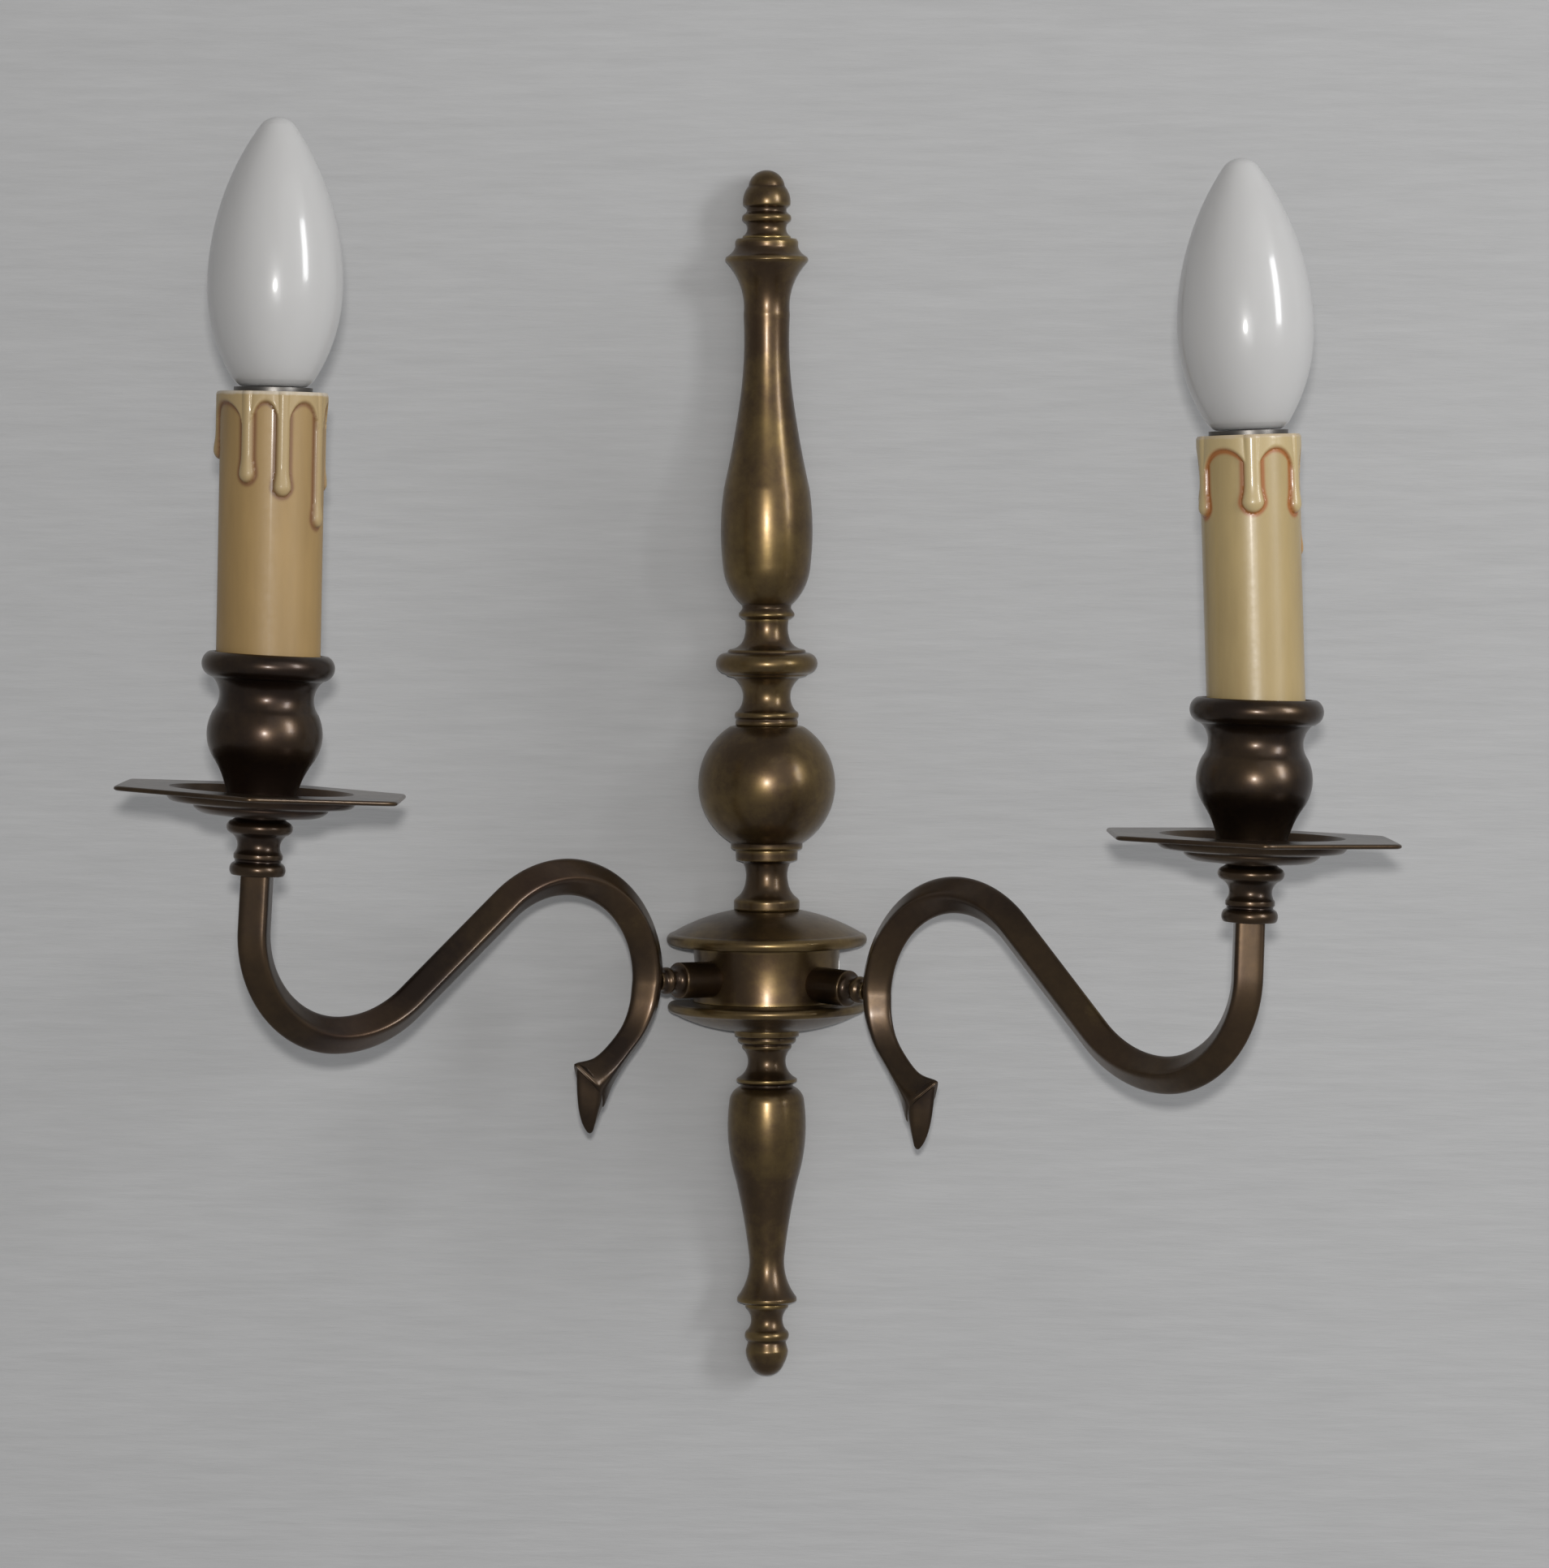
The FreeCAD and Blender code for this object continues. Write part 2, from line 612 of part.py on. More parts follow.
def terminal_block():
    """The connector block in the drum where the mains and both arm wires meet."""
    front = size("axis_gap") + size("block_start") + size("block_depth")
    corner = V(-size("block_width") / 2, -front, -size("block_height") / 2)
    return keep("terminal_block", block("terminal_block", corner, Length="block_width",
                                        Width="block_depth", Height="block_height"))


# ---------------------------------------------------------------- arms

def arm_peg(side):
    """The turned peg between drum and bar: thread, body, neck, boss and spigot, bored through."""
    body = new_body(side + "_peg_blank")
    sketch = new_sketch(body, side + "_peg_outline", "XZ_Plane")
    start = size("peg_inner")
    shoulder = size("drum_radius") - 0.6
    end = size("peg_boss_end")
    marks = [
        ("peg_bore", start, 0.0), ("peg_thread", start, 0.0), ("peg_thread", shoulder, 0.0),
        ("peg_body", shoulder, 0.0), ("peg_body", 28.6, 0.0), (5.0, 29.6, 0.2), (3.9, 32.4, -0.7),
        (4.6, 33.1, 0.0), (4.6, 35.3, 0.35), (4.0, 35.9, 0.0), ("peg_boss", end, 0.0),
        ("peg_bore", end, 0.0)]
    words = [m[0] if isinstance(m[0], str) else None for m in marks]
    corners = [V(size(w) if w else m[0], m[1] - start, 0) for w, m in zip(words, marks)]
    closed_outline(sketch, corners, [m[2] for m in marks], [(w, None) for w in words])
    turn = body.newObject("PartDesign::Revolution", side + "_peg_turning")
    turn.Profile = sketch
    turn.ReferenceAxis = (sketch, ["V_Axis"])
    turn.Angle = 360.0
    lying = Placement(V(start, 0, 0), Rotation(V(0, 1, 0), 90))
    body.Placement = arm_frame(side).multiply(lying)
    drum = cylinder(side + "_peg_drum_side", "drum_radius", "80",
                    Placement(V(0, -size("axis_gap"), -40), Rotation()))
    thread = cylinder(side + "_peg_thread_room", "peg_thread", "40",
                      arm_frame(side).multiply(Placement(V(0, 0, 0), Rotation(V(0, 1, 0), 90))))
    shell = cut_all(side + "_peg_drum_shell", drum, [thread])
    return keep(side + "_arm_peg", cut_all(side + "_arm_peg", body, [shell]))


def hex_nut(name, across, thread, place):
    """A hexagon nut along its own Z axis."""
    blank = doc.addObject("Part::Prism", name + "_blank")
    blank.Polygon = 6
    bind(blank, Circumradius=across + " / 1.7320508", Height="nut_thick")
    blank.Placement = place
    bore = cylinder(name + "_bore", thread + " + 0.05", "3 * nut_thick",
                    place.multiply(Placement(V(0, 0, -size("nut_thick")), Rotation())))
    return keep(name, cut_all(name, blank, [bore]))


def arm_bar(side):
    """The square S-scroll bar with its tenon, bore, curled tail, flared end and beak."""
    body = new_body(side + "_bar_blank")
    top = size("bar_top")
    tenon_top = top + size("tenon_height")
    hook = V(size("hook_centre"), 0, 0)
    run = bar_run(top)
    run.append(circle_arc(hook, size("hook_radius"), 90, 180))
    path = path_sketch(body, side + "_bar_path", run)
    half = size("bar_half")
    section = upright_section(body, side + "_bar_section",
                              lambda s: diamond(s, half, half, size("bar_edge")), top)
    pipe(body, side + "_bar_sweep", "AdditivePipe", section, path)
    sections = []
    for number, (angle, drawn_in, half_in, half_across) in enumerate(TAIL):
        spot = on_circle(hook, size("hook_radius") - drawn_in, angle)
        sections.append(tail_section(body, f"{side}_tail_{number}", spot.x, spot.y, angle - 270,
                                     half_in, half_across))
    for number, mark in enumerate(FLARE):
        sections.append(tail_section(body, f"{side}_flare_{number}", *mark))
    loft(body, side + "_tail_skin", sections)
    beak = [tail_section(body, f"{side}_beak_{n}", *mark) for n, mark in enumerate(BEAK)]
    loft(body, side + "_beak_skin", beak)
    tenon = upright_section(body, side + "_tenon_section",
                            lambda s: round_section(s, "tenon_radius"), top)
    pad = body.newObject("PartDesign::Pad", side + "_tenon")
    pad.Profile = tenon
    pad.setExpression("Length", "Sizes.tenon_height")
    hollow_run = bar_run(tenon_top)
    hollow_run.append(circle_arc(hook, size("hook_radius"), 90, 180))
    hollow_path = path_sketch(body, side + "_bore_path", hollow_run)
    hole = upright_section(body, side + "_bore_section",
                           lambda s: round_section(s, "bar_bore"), tenon_top)
    pipe(body, side + "_bore", "SubtractivePipe", hole, hollow_path)
    body.Placement = arm_frame(side)
    lying = Rotation(V(0, 1, 0), 90)
    boss = cylinder(side + "_boss_room", "peg_boss + 0.03", "10", arm_frame(side).multiply(
        Placement(V(size("peg_boss_end") - 10 + 0.02, 0, 0), lying)))
    inlet = cylinder(side + "_wire_inlet", "bar_bore", "12", arm_frame(side).multiply(
        Placement(V(size("hook_centre") - size("hook_radius") - 12, 0, 0), lying)))
    return keep(side + "_arm_bar", cut_all(side + "_arm_bar", body, [boss, inlet]))


def arm_wire(side):
    """The wire from the terminal block through peg and bar up into the lampholder."""
    body = new_body(side + "_arm_wire")
    turn_centre, angle = wire_turn_point()
    start = size("wire_start")
    run = [Part.LineSegment(V(start, 0, 0), V(turn_centre.x, 0, 0)),
           circle_arc(turn_centre, size("wire_turn"), -90, angle - 180)]
    hook = V(size("hook_centre"), 0, 0)
    run.append(circle_arc(hook, size("hook_radius"), 90, angle))
    run += list(reversed(bar_run(size("wire_top"))))
    path = path_sketch(body, side + "_wire_path", run)
    section = new_sketch(body, side + "_wire_section", "YZ_Plane",
                         Placement(V(0, 0, start), Rotation()))
    round_section(section, "wire_radius")
    pipe(body, side + "_wire_sweep", "AdditivePipe", section, path)
    body.Placement = arm_frame(side)
    return keep(side + "_arm_wire", body)


def turned_on_arm(side, name, outline):
    """A turned piece standing on the arm's upright end."""
    body = turned_body(side + "_" + name, outline, side + "_" + name)
    body.Placement = on_upright(side, TURNED[outline][0])
    return body


def arm_nipple(side):
    """The threaded tube that clamps collar, pan and cup together."""
    place = on_upright(side, size("nipple_low"))
    outer = cylinder(side + "_nipple_blank", "nipple_radius", "nipple_high - nipple_low", place)
    inner = cylinder(side + "_nipple_bore", "nipple_bore", "nipple_high - nipple_low", place)
    return keep(side + "_arm_nipple", cut_all(side + "_arm_nipple", outer, [inner]))


def drip_pan(side):
    """The six-sided drip pan: a thin flat rim round a stepped, turned dish."""
    turn = -(arm_frame(side).Rotation.toEuler()[0])
    flat = on_upright(side, size("pan_plate_low")).multiply(
        Placement(V(0, 0, 0), Rotation(V(0, 0, 1), turn + 30)))
    rim = doc.addObject("Part::Prism", side + "_pan_rim")
    rim.Polygon = 6
    bind(rim, Circumradius="pan_flat * 1.1547005", Height="pan_plate_thick")
    rim.Placement = flat
    opening = cylinder(side + "_pan_opening", "pan_opening", "6",
                       on_upright(side, size("pan_plate_low") - 2))
    ring = cut_all(side + "_pan_ring", rim, [opening])
    dish = turned_on_arm(side, "pan_dish", "drip_dish")
    return keep(side + "_drip_pan", fuse_all(side + "_drip_pan", [ring, dish]))


# ---------------------------------------------------------------- candles

def turned_on_candle(side, name, outline):
    """A turned piece on the candle's own axis."""
    body = turned_body(side + "_" + name, outline, side + "_" + name)
    body.Placement = on_candle(side, TURNED[outline][0])
    return keep(side + "_" + name, body)


def tube_on_candle(side, name, outer, inner, height, level):
    """A plain tube on the candle's axis."""
    place = on_candle(side, level)
    blank = cylinder(f"{side}_{name}_blank", outer, height, place)
    bore = cylinder(f"{side}_{name}_bore", inner, height, place)
    return keep(side + "_" + name, cut_all(side + "_" + name, blank, [bore]))


def bulb_glass(side):
    """The opal candle bulb: two tangent arcs and a round tip, hollow."""
    body = new_body(side + "_bulb_glass")
    sketch = new_sketch(body, side + "_glass_outline", "XZ_Plane")
    belly = V(size("glass_radius"), size("glass_belly"), 0)
    outer = glass_points(belly, 0.0)
    inner = glass_points(belly, size("glass_wall"))
    corners = [p for p, rise in outer] + [p for p, rise in reversed(inner)]
    rises = [0.0] + [rise for p, rise in outer[1:]]
    rises += [0.0] + [-rise for p, rise in reversed(inner[1:])]
    closed_outline(sketch, corners, rises, [(None, None)] * len(corners))
    turn = body.newObject("PartDesign::Revolution", side + "_glass_turning")
    turn.Profile = sketch
    turn.ReferenceAxis = (sketch, ["V_Axis"])
    turn.Angle = 360.0
    body.Placement = on_candle(side, size("glass_low"))
    return keep(side + "_bulb_glass", body)


def arc_rise(radius, start, end):
    """How far an arc of this radius stands off its chord."""
    half = (end - start).Length / 2
    return radius - math.sqrt(radius * radius - half * half)


def glass_points(belly, inset):
    """Foot, belly, shoulder and tip of the glass, moved in by inset, with the arcs' rises."""
    lower = size("glass_lower_arc")
    upper = size("glass_upper_arc")
    height = size("glass_height")
    rise = height - belly.y
    back = upper - belly.x
    tip = (upper ** 2 - back ** 2 - rise ** 2) / (2 * (upper - rise))
    tip_centre = V(0, height - tip, 0)
    upper_centre = V(belly.x - upper, belly.y, 0)
    lower_centre = V(belly.x - lower, belly.y, 0)
    toward = (tip_centre - upper_centre).normalize()
    foot_level = size("glass_neck_height")
    reach = lower - inset
    foot = V(lower_centre.x + math.sqrt(reach ** 2 - (belly.y - foot_level) ** 2), foot_level, 0)
    neck = V(size("glass_neck") - inset, inset, 0)
    widest = V(belly.x - inset, belly.y, 0)
    shoulder = tip_centre + toward * (tip - inset)
    top = V(0, height - inset, 0)
    return [
        (neck, 0.0),
        (foot, 0.1),
        (widest, arc_rise(reach, foot, widest)),
        (shoulder, arc_rise(upper - inset, widest, shoulder)),
        (top, arc_rise(tip - inset, shoulder, top)),
    ]


# ---------------------------------------------------------------- building and writing

def build_column():
    """Everything that stands on the wall plate except the arms."""
    cutter = wall_cutter()
    for name in ("bottom_finial", "lower_baluster", "hub_bottom_plate", "hub_top_plate",
                 "upper_neck", "ball_knop", "ring_knop", "upper_baluster", "top_finial"):
        column_piece(name, cutter)
    hub_drum(cutter)
    tie_rod()
    wall_plate()
    set_screws()
    terminal_block()


def build_arm(side):
    """One arm with its candle and bulb."""
    arm_peg(side)
    nut_reach = size("drum_inner") - size("nut_thick") - 1.4
    nut_place = arm_frame(side).multiply(Placement(V(nut_reach, 0, 0), Rotation(V(0, 1, 0), 90)))
    nut_place = nut_place.multiply(Placement(V(0, 0, 0), Rotation(V(0, 0, 1), 30)))
    hex_nut(side + "_peg_nut", "peg_nut_across", "peg_thread", nut_place)
    arm_bar(side)
    arm_wire(side)
    keep(side + "_arm_collar", turned_on_arm(side, "arm_collar", "arm_collar"))
    arm_nipple(side)
    drip_pan(side)
    keep(side + "_candle_cup", turned_on_arm(side, "candle_cup", "candle_cup"))
    hex_nut(side + "_cup_nut", "cup_nut_across", "nipple_radius",
            on_upright(side, size("cup_low") + 3.0))
    turned_on_candle(side, "lampholder", "lampholder")
    tube_on_candle(side, "lamp_shell", "shell_radius", "shell_bore", "shell_height",
                   size("shell_low"))
    keep(side + "_lamp_contact", cylinder(side + "_lamp_contact", "contact_radius",
                                          "contact_height", on_candle(side, size("contact_low"))))
    tube_on_candle(side, "candle_sleeve", side + "_sleeve_radius",
                   side + "_sleeve_radius - sleeve_wall", "sleeve_height", size("sleeve_low"))
    turned_on_candle(side, "bulb_foot", "bulb_foot")
    turned_on_candle(side, "bulb_cap", "bulb_cap")
    bulb_glass(side)


def check_document():
    """Stops if any object failed to build or any sub-part is not a sound solid."""
    faulty = [o.Label for o in doc.Objects if "Invalid" in o.State or "Error" in o.State]
    if faulty:
        raise RuntimeError("failed objects: " + ", ".join(faulty))
    for name, obj in parts.items():
        shape = obj.Shape
        if shape.isNull() or not shape.isValid() or shape.Volume < 1.0:
            raise RuntimeError("unsound sub-part: " + name)


def report_wire(side):
    """Prints the wire's bend radii and compares its volume with its section times its length."""
    path = doc.getObject(side + "_wire_path").Shape
    bends = sorted({round(edge.Curve.Radius, 1) for edge in path.Edges
                    if isinstance(edge.Curve, Part.Circle)})
    wanted = math.pi * size("wire_radius") ** 2 * path.Length
    volume = parts[side + "_arm_wire"].Shape.Volume
    if abs(volume - wanted) > 0.01 * wanted:
        raise RuntimeError(f"{side}_arm_wire: {volume:.1f} mm3 against {wanted:.1f}")
    print(f"{side}_arm_wire: length {path.Length:.1f} mm, bend radii {bends} mm, "
          f"volume {volume:.1f} mm3, section times length {wanted:.1f} mm3")


def write_parts():
    """Writes each sub-part to its own file."""
    os.makedirs("parts", exist_ok=True)
    for name, obj in parts.items():
        obj.Shape.exportStep(os.path.join("parts", name + ".step"))
        print(f"{name}: {len(obj.Shape.Solids)} solid(s), {obj.Shape.Volume:.0f} mm3")


fill_sheet()
build_column()
for arm_side in SIDES:
    build_arm(arm_side)
doc.recompute()
check_document()
write_parts()
for arm_side in SIDES:
    report_wire(arm_side)
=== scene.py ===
"""Double arm wall sconce in bronzed brass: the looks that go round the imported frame.

All shapes are worked out in millimetres in the frame's axes (+Z up, wall at Y = 0, front towards
-Y) and written to the meshes in metres. Turned pieces come from an outline of (radius, height)
marks, swept pieces from sections carried along the arm's centre line.
"""
from __future__ import annotations

import logging
import math
from collections.abc import Sequence
from dataclasses import dataclass
from enum import Enum

import bmesh
import bpy
import numpy as np
from numpy.typing import NDArray
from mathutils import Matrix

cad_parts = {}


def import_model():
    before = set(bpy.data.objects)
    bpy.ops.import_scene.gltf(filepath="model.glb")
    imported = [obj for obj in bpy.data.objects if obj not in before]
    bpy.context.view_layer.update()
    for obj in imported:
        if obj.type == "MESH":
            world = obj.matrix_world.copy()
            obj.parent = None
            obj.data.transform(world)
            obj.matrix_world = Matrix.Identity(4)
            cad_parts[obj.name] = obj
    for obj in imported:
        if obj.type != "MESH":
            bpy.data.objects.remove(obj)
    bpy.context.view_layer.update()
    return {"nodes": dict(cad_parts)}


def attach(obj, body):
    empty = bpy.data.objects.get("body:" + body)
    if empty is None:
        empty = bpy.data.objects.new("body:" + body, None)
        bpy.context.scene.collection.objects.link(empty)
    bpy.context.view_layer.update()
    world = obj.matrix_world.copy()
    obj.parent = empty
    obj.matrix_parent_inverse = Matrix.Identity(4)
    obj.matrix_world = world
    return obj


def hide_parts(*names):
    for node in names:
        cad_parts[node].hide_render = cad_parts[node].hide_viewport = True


Array = NDArray[np.float64]
Marks = Sequence[tuple[float, ...]]
Colour = tuple[float, float, float]
Fields = dict[str, Array]
Socket = bpy.types.NodeSocket

MM = 0.001
STEP = 0.05             # spacing of the points of a softened line, in millimetres
ARC_STEPS = 40          # points to an arc of an outline
WEAR_REACH = 0.45       # how far round an edge its wear spreads, in millimetres
BACK_POINTS = 6         # points across a flat back, between its two edges
SAME_POINT = 2e-7       # points nearer than this, in metres, become one
NO_LENGTH = 1e-7        # edges shorter than this, in metres, go
LOG = logging.getLogger("sconce")


class Side(Enum):
    """The two arms, as the viewer sees them."""

    LEFT = "left"
    RIGHT = "right"


# ---------------------------------------------------------------- frames

@dataclass(frozen=True)
class Stance:
    """Where the arms and candles stand, in millimetres and degrees."""

    axis_gap: float = 5.0
    azimuth: float = 41.0
    set_angle: float = 2.5
    loop: tuple[float, float] = (142.6, 15.7)
    loop_radius: float = 27.8
    upright_lean: float = 1.0
    seat: float = 82.5
    left_lean: float = -2.0
    right_lean: float = -3.6

    def arm(self, side: Side) -> Array:
        """Returns the arm's 4 by 4 frame: X out along the arm, Z up, origin on the column axis."""
        return shift(0, -self.axis_gap, 0) @ turn_y(self.set_angle) @ turn_z(self.heading(side))

    def heading(self, side: Side) -> float:
        """Returns the arm's direction seen from above, in degrees from +X."""
        return 180.0 + self.azimuth if side is Side.LEFT else -self.azimuth

    def upright_spot(self, level: float) -> tuple[float, float]:
        """Returns how far out and up the point at a level of the leaning upright's axis is."""
        lean, rise = math.radians(self.upright_lean), level - self.loop[1]
        return (self.loop[0] + self.loop_radius * math.cos(lean) - rise * math.sin(lean),
                self.loop[1] + self.loop_radius * math.sin(lean) + rise * math.cos(lean))

    def upright(self, side: Side, level: float) -> Array:
        """Returns the frame of the upright's axis at a level."""
        out, up = self.upright_spot(level)
        return self.arm(side) @ shift(out, 0, up) @ turn_y(-self.upright_lean)

    def candle(self, side: Side) -> Array:
        """Returns the candle's frame, leaning about its seat; heights count from the hub level."""
        upright = self.upright(side, self.seat)
        tilt = turn_y(self.left_lean if side is Side.LEFT else self.right_lean)
        tilt[:3, 3] = upright[:3, 3] - tilt[:3, :3] @ upright[:3, 3]
        return tilt @ upright @ shift(0, 0, -self.seat)

    def column(self) -> Array:
        """Returns the frame of the column axis."""
        return shift(0, -self.axis_gap, 0)


def shift(x: float, y: float, z: float) -> Array:
    """Returns the 4 by 4 matrix that moves by (x, y, z)."""
    matrix = np.eye(4)
    matrix[:3, 3] = (x, y, z)
    return matrix


def turn_y(degrees: float) -> Array:
    """Returns the right-handed turn about Y."""
    c, s = math.cos(math.radians(degrees)), math.sin(math.radians(degrees))
    return np.array([[c, 0, s, 0], [0, 1, 0, 0], [-s, 0, c, 0], [0, 0, 0, 1.0]])


def turn_z(degrees: float) -> Array:
    """Returns the right-handed turn about Z."""
    c, s = math.cos(math.radians(degrees)), math.sin(math.radians(degrees))
    return np.array([[c, -s, 0, 0], [s, c, 0, 0], [0, 0, 1, 0], [0, 0, 0, 1.0]])


# ---------------------------------------------------------------- lines

def trace(marks: Marks) -> Array:
    """Follows marks with straight runs and arcs.

    An arc is given by a third number, its rise: how far its middle stands to the right of the
    chord from the mark before. A point at share s of the arc's angle lies on the circle through
    both ends and that middle.

    Args:
        marks: (radius, height) or (radius, height, rise).

    Returns:
        The points of the line, n by 2.
    """
    parts = [np.array([marks[0][:2]], float)]
    for before, mark in zip(marks, marks[1:]):
        start, end = np.array(before[:2], float), np.array(mark[:2], float)
        rise = mark[2] if len(mark) > 2 else 0.0
        if rise == 0.0:
            parts.append(end[None])
            continue
        chord = end - start
        length = np.hypot(*chord)
        right = np.array([chord[1], -chord[0]]) / length
        radius = (length ** 2 / 4 + rise ** 2) / (2 * abs(rise))
        side = math.copysign(1.0, rise)
        centre = (start + end) / 2 + right * (rise - side * radius)
        first = math.atan2(*(start - centre)[::-1])
        sweep = side * 2 * math.asin(min(1.0, length / (2 * radius)))
        angles = first + sweep * np.linspace(0, 1, ARC_STEPS)[1:]
        parts.append(centre + radius * np.stack([np.cos(angles), np.sin(angles)], 1))
    return np.concatenate(parts)


def bell_curve(reach: float, spans: float) -> Array:
    """Returns the weights of a bell of standard deviation reach, cut off after spans of it."""
    width = max(1, int(spans * reach / STEP))
    bell = np.exp(-0.5 * (np.arange(-width, width + 1) * STEP / reach) ** 2)
    return bell / bell.sum()


def soften(line: Array, reach: float, closed: bool = False) -> Array:
    """Rounds a line's corners: each point becomes the bell-weighted mean of its neighbours.

    Args:
        line: points of the line.
        reach: the bell's standard deviation, in millimetres.
        closed: whether the last point joins the first.

    Returns:
        The softened line, its points evenly spaced, with the same ends.
    """
    if closed:
        line = np.concatenate([line, line[:1]])
    gaps = np.hypot(*np.diff(line, axis=0).T)
    along = np.concatenate([[0], np.cumsum(gaps)])
    count = max(8, int(along[-1] / STEP))
    even = np.linspace(0, along[-1], count + 1)
    points = np.stack([np.interp(even, along, line[:, k]) for k in (0, 1)], 1)
    bell = bell_curve(reach, 4)
    width = len(bell) // 2
    if closed:
        ring = points[:-1]
        padded = np.concatenate([ring[-width:], ring, ring[:width]])
    else:
        width = min(width, count)
        padded = np.concatenate([2 * points[0] - points[width:0:-1], points,
                                 2 * points[-1] - points[-2:-2 - width:-1]])
    return np.stack([np.convolve(padded[:, k], bell, "valid") for k in (0, 1)], 1)


def turning(line: Array) -> Array:
    """Measures how sharply an even line turns left at each point, in radians per millimetre."""
    way = np.unwrap(np.arctan2(*np.gradient(line, axis=0).T[::-1]))
    bell = bell_curve(WEAR_REACH, 3)
    return np.convolve(np.pad(np.gradient(way) / STEP, len(bell) // 2, mode="edge"), bell, "valid")


def thin_out(line: Array, values: Array, gap: float, turn: float) -> tuple[Array, Array]:
    """Keeps fewer points of a line: one per gap of length or per turn of direction.

    Args:
        line: points of the line.
        values: a number at each point.
        gap: the longest distance between points kept.
        turn: the largest change of direction between them, in radians.

    Returns:
        The kept points and their values.
    """
    way = np.unwrap(np.arctan2(*np.diff(line, axis=0).T[::-1]))
    bend = np.abs(np.diff(way, prepend=way[:1]))
    cost = np.hypot(*np.diff(line, axis=0).T) / gap + bend / turn
    total = np.concatenate([[0], np.cumsum(cost)])
    at = np.linspace(0, total[-1], int(math.ceil(total[-1])) + 1)
    where = np.interp(at, total, np.arange(len(line)))
    index = np.arange(len(line))
    kept = np.stack([np.interp(where, index, line[:, k]) for k in (0, 1)], 1)
    return kept, np.interp(where, index, values)


def outline(marks: Marks, edge: float, gap: float, turn: float) -> tuple[Array, Array]:
    """Makes a softened outline that starts and ends on the axis.

    Args:
        marks: what trace follows.
        edge: how softly its corners are rounded, in millimetres.
        gap: the longest distance between its points.
        turn: the largest change of direction between them, in radians.

    Returns:
        Its points (radius, height), and the wear there: positive on edges, negative in hollows.
    """
    line = soften(trace(marks), edge)
    line[:, 0] = np.maximum(line[:, 0], 0)
    line, wear = thin_out(line, turning(line), gap, turn)
    line[0, 0] = line[-1, 0] = 0.0
    return line, wear


def smooth_through(stations: Array, count: int) -> Array:
    """Runs a smooth curve through rows of numbers, as cubics whose slopes are the central ones."""
    rows = len(stations)
    slope = np.gradient(stations, axis=0)
    at = np.linspace(0, rows - 1, count)
    index = np.minimum(at.astype(int), rows - 2)
    t = (at - index)[:, None]
    a, b = stations[index], stations[index + 1]
    da, db = slope[index], slope[index + 1]
    return ((2 * t ** 3 - 3 * t ** 2 + 1) * a + (t ** 3 - 2 * t ** 2 + t) * da
            + (3 * t ** 2 - 2 * t ** 3) * b + (t ** 3 - t ** 2) * db)


# ---------------------------------------------------------------- surfaces

def grid_faces(rows: int, columns: int) -> NDArray[np.int32]:
    """Returns the four-cornered faces of a grid whose columns close on themselves."""
    index = np.arange(rows * columns).reshape(rows, columns)
    right = np.roll(index, -1, axis=1)
    quads = np.stack([index[:-1], right[:-1], right[1:], index[1:]], -1)
    return quads.reshape(-1, 4).astype(np.int32)


def enclosed(points: Array, quads: NDArray[np.int32]) -> float:
    """Returns the volume inside a closed surface, negative where its faces point inwards."""
    a, b, c, d = (points[quads[:, k]] for k in range(4))
    first = np.einsum("ij,ij->i", a, np.cross(b, c)).sum()
    return float((first + np.einsum("ij,ij->i", a, np.cross(c, d)).sum()) / 6)


def make_piece(name: str, grid: Array, place: Array, fields: Fields | None = None,
               crease: float = 50.0) -> bpy.types.Object:
    """Puts a closed grid surface into a mesh object at the origin.

    Args:
        name: the object's name.
        grid: points, rows by columns by 3, in millimetres; the columns close on themselves and
            the first and last rows are single points.
        place: the 4 by 4 matrix from the grid's own frame to the object's.
        fields: numbers at each grid point, kept as attributes.
        crease: faces that meet at more than this angle, in degrees, keep a sharp edge.

    Returns:
        The new object, linked to the scene.
    """
    rows, columns = grid.shape[:2]
    points = (grid.reshape(-1, 3) @ place[:3, :3].T + place[:3, 3]) * MM
    quads = grid_faces(rows, columns)
    if enclosed(points, quads) < 0:
        quads = quads[:, ::-1]
    mesh = bpy.data.meshes.new(name)
    mesh.vertices.add(len(points))
    mesh.vertices.foreach_set("co", points.ravel())
    mesh.loops.add(quads.size)
    mesh.loops.foreach_set("vertex_index", np.ascontiguousarray(quads).ravel())
    mesh.polygons.add(len(quads))
    mesh.polygons.foreach_set("loop_start", np.arange(0, quads.size, 4, dtype=np.int32))
    for key, values in (fields or {}).items():
        layer = mesh.attributes.new(key, "FLOAT", "POINT")
        layer.data.foreach_set("value", np.ascontiguousarray(values, dtype=np.float32).ravel())
    mesh.update(calc_edges=True)
    close_poles(mesh)
    mesh.polygons.foreach_set("use_smooth", np.ones(len(mesh.polygons), bool))
    mesh.set_sharp_from_angle(angle=math.radians(crease))
    obj = bpy.data.objects.new(name, mesh)
    bpy.context.scene.collection.objects.link(obj)
    return obj


def close_poles(mesh: bpy.types.Mesh) -> None:
    """Merges points that lie on each other, at the poles and where a flat back closes up."""
    work = bmesh.new()
    work.from_mesh(mesh)
    bmesh.ops.remove_doubles(work, verts=work.verts, dist=SAME_POINT)
    bmesh.ops.dissolve_degenerate(work, edges=work.edges, dist=NO_LENGTH)
    work.to_mesh(mesh)
    work.free()


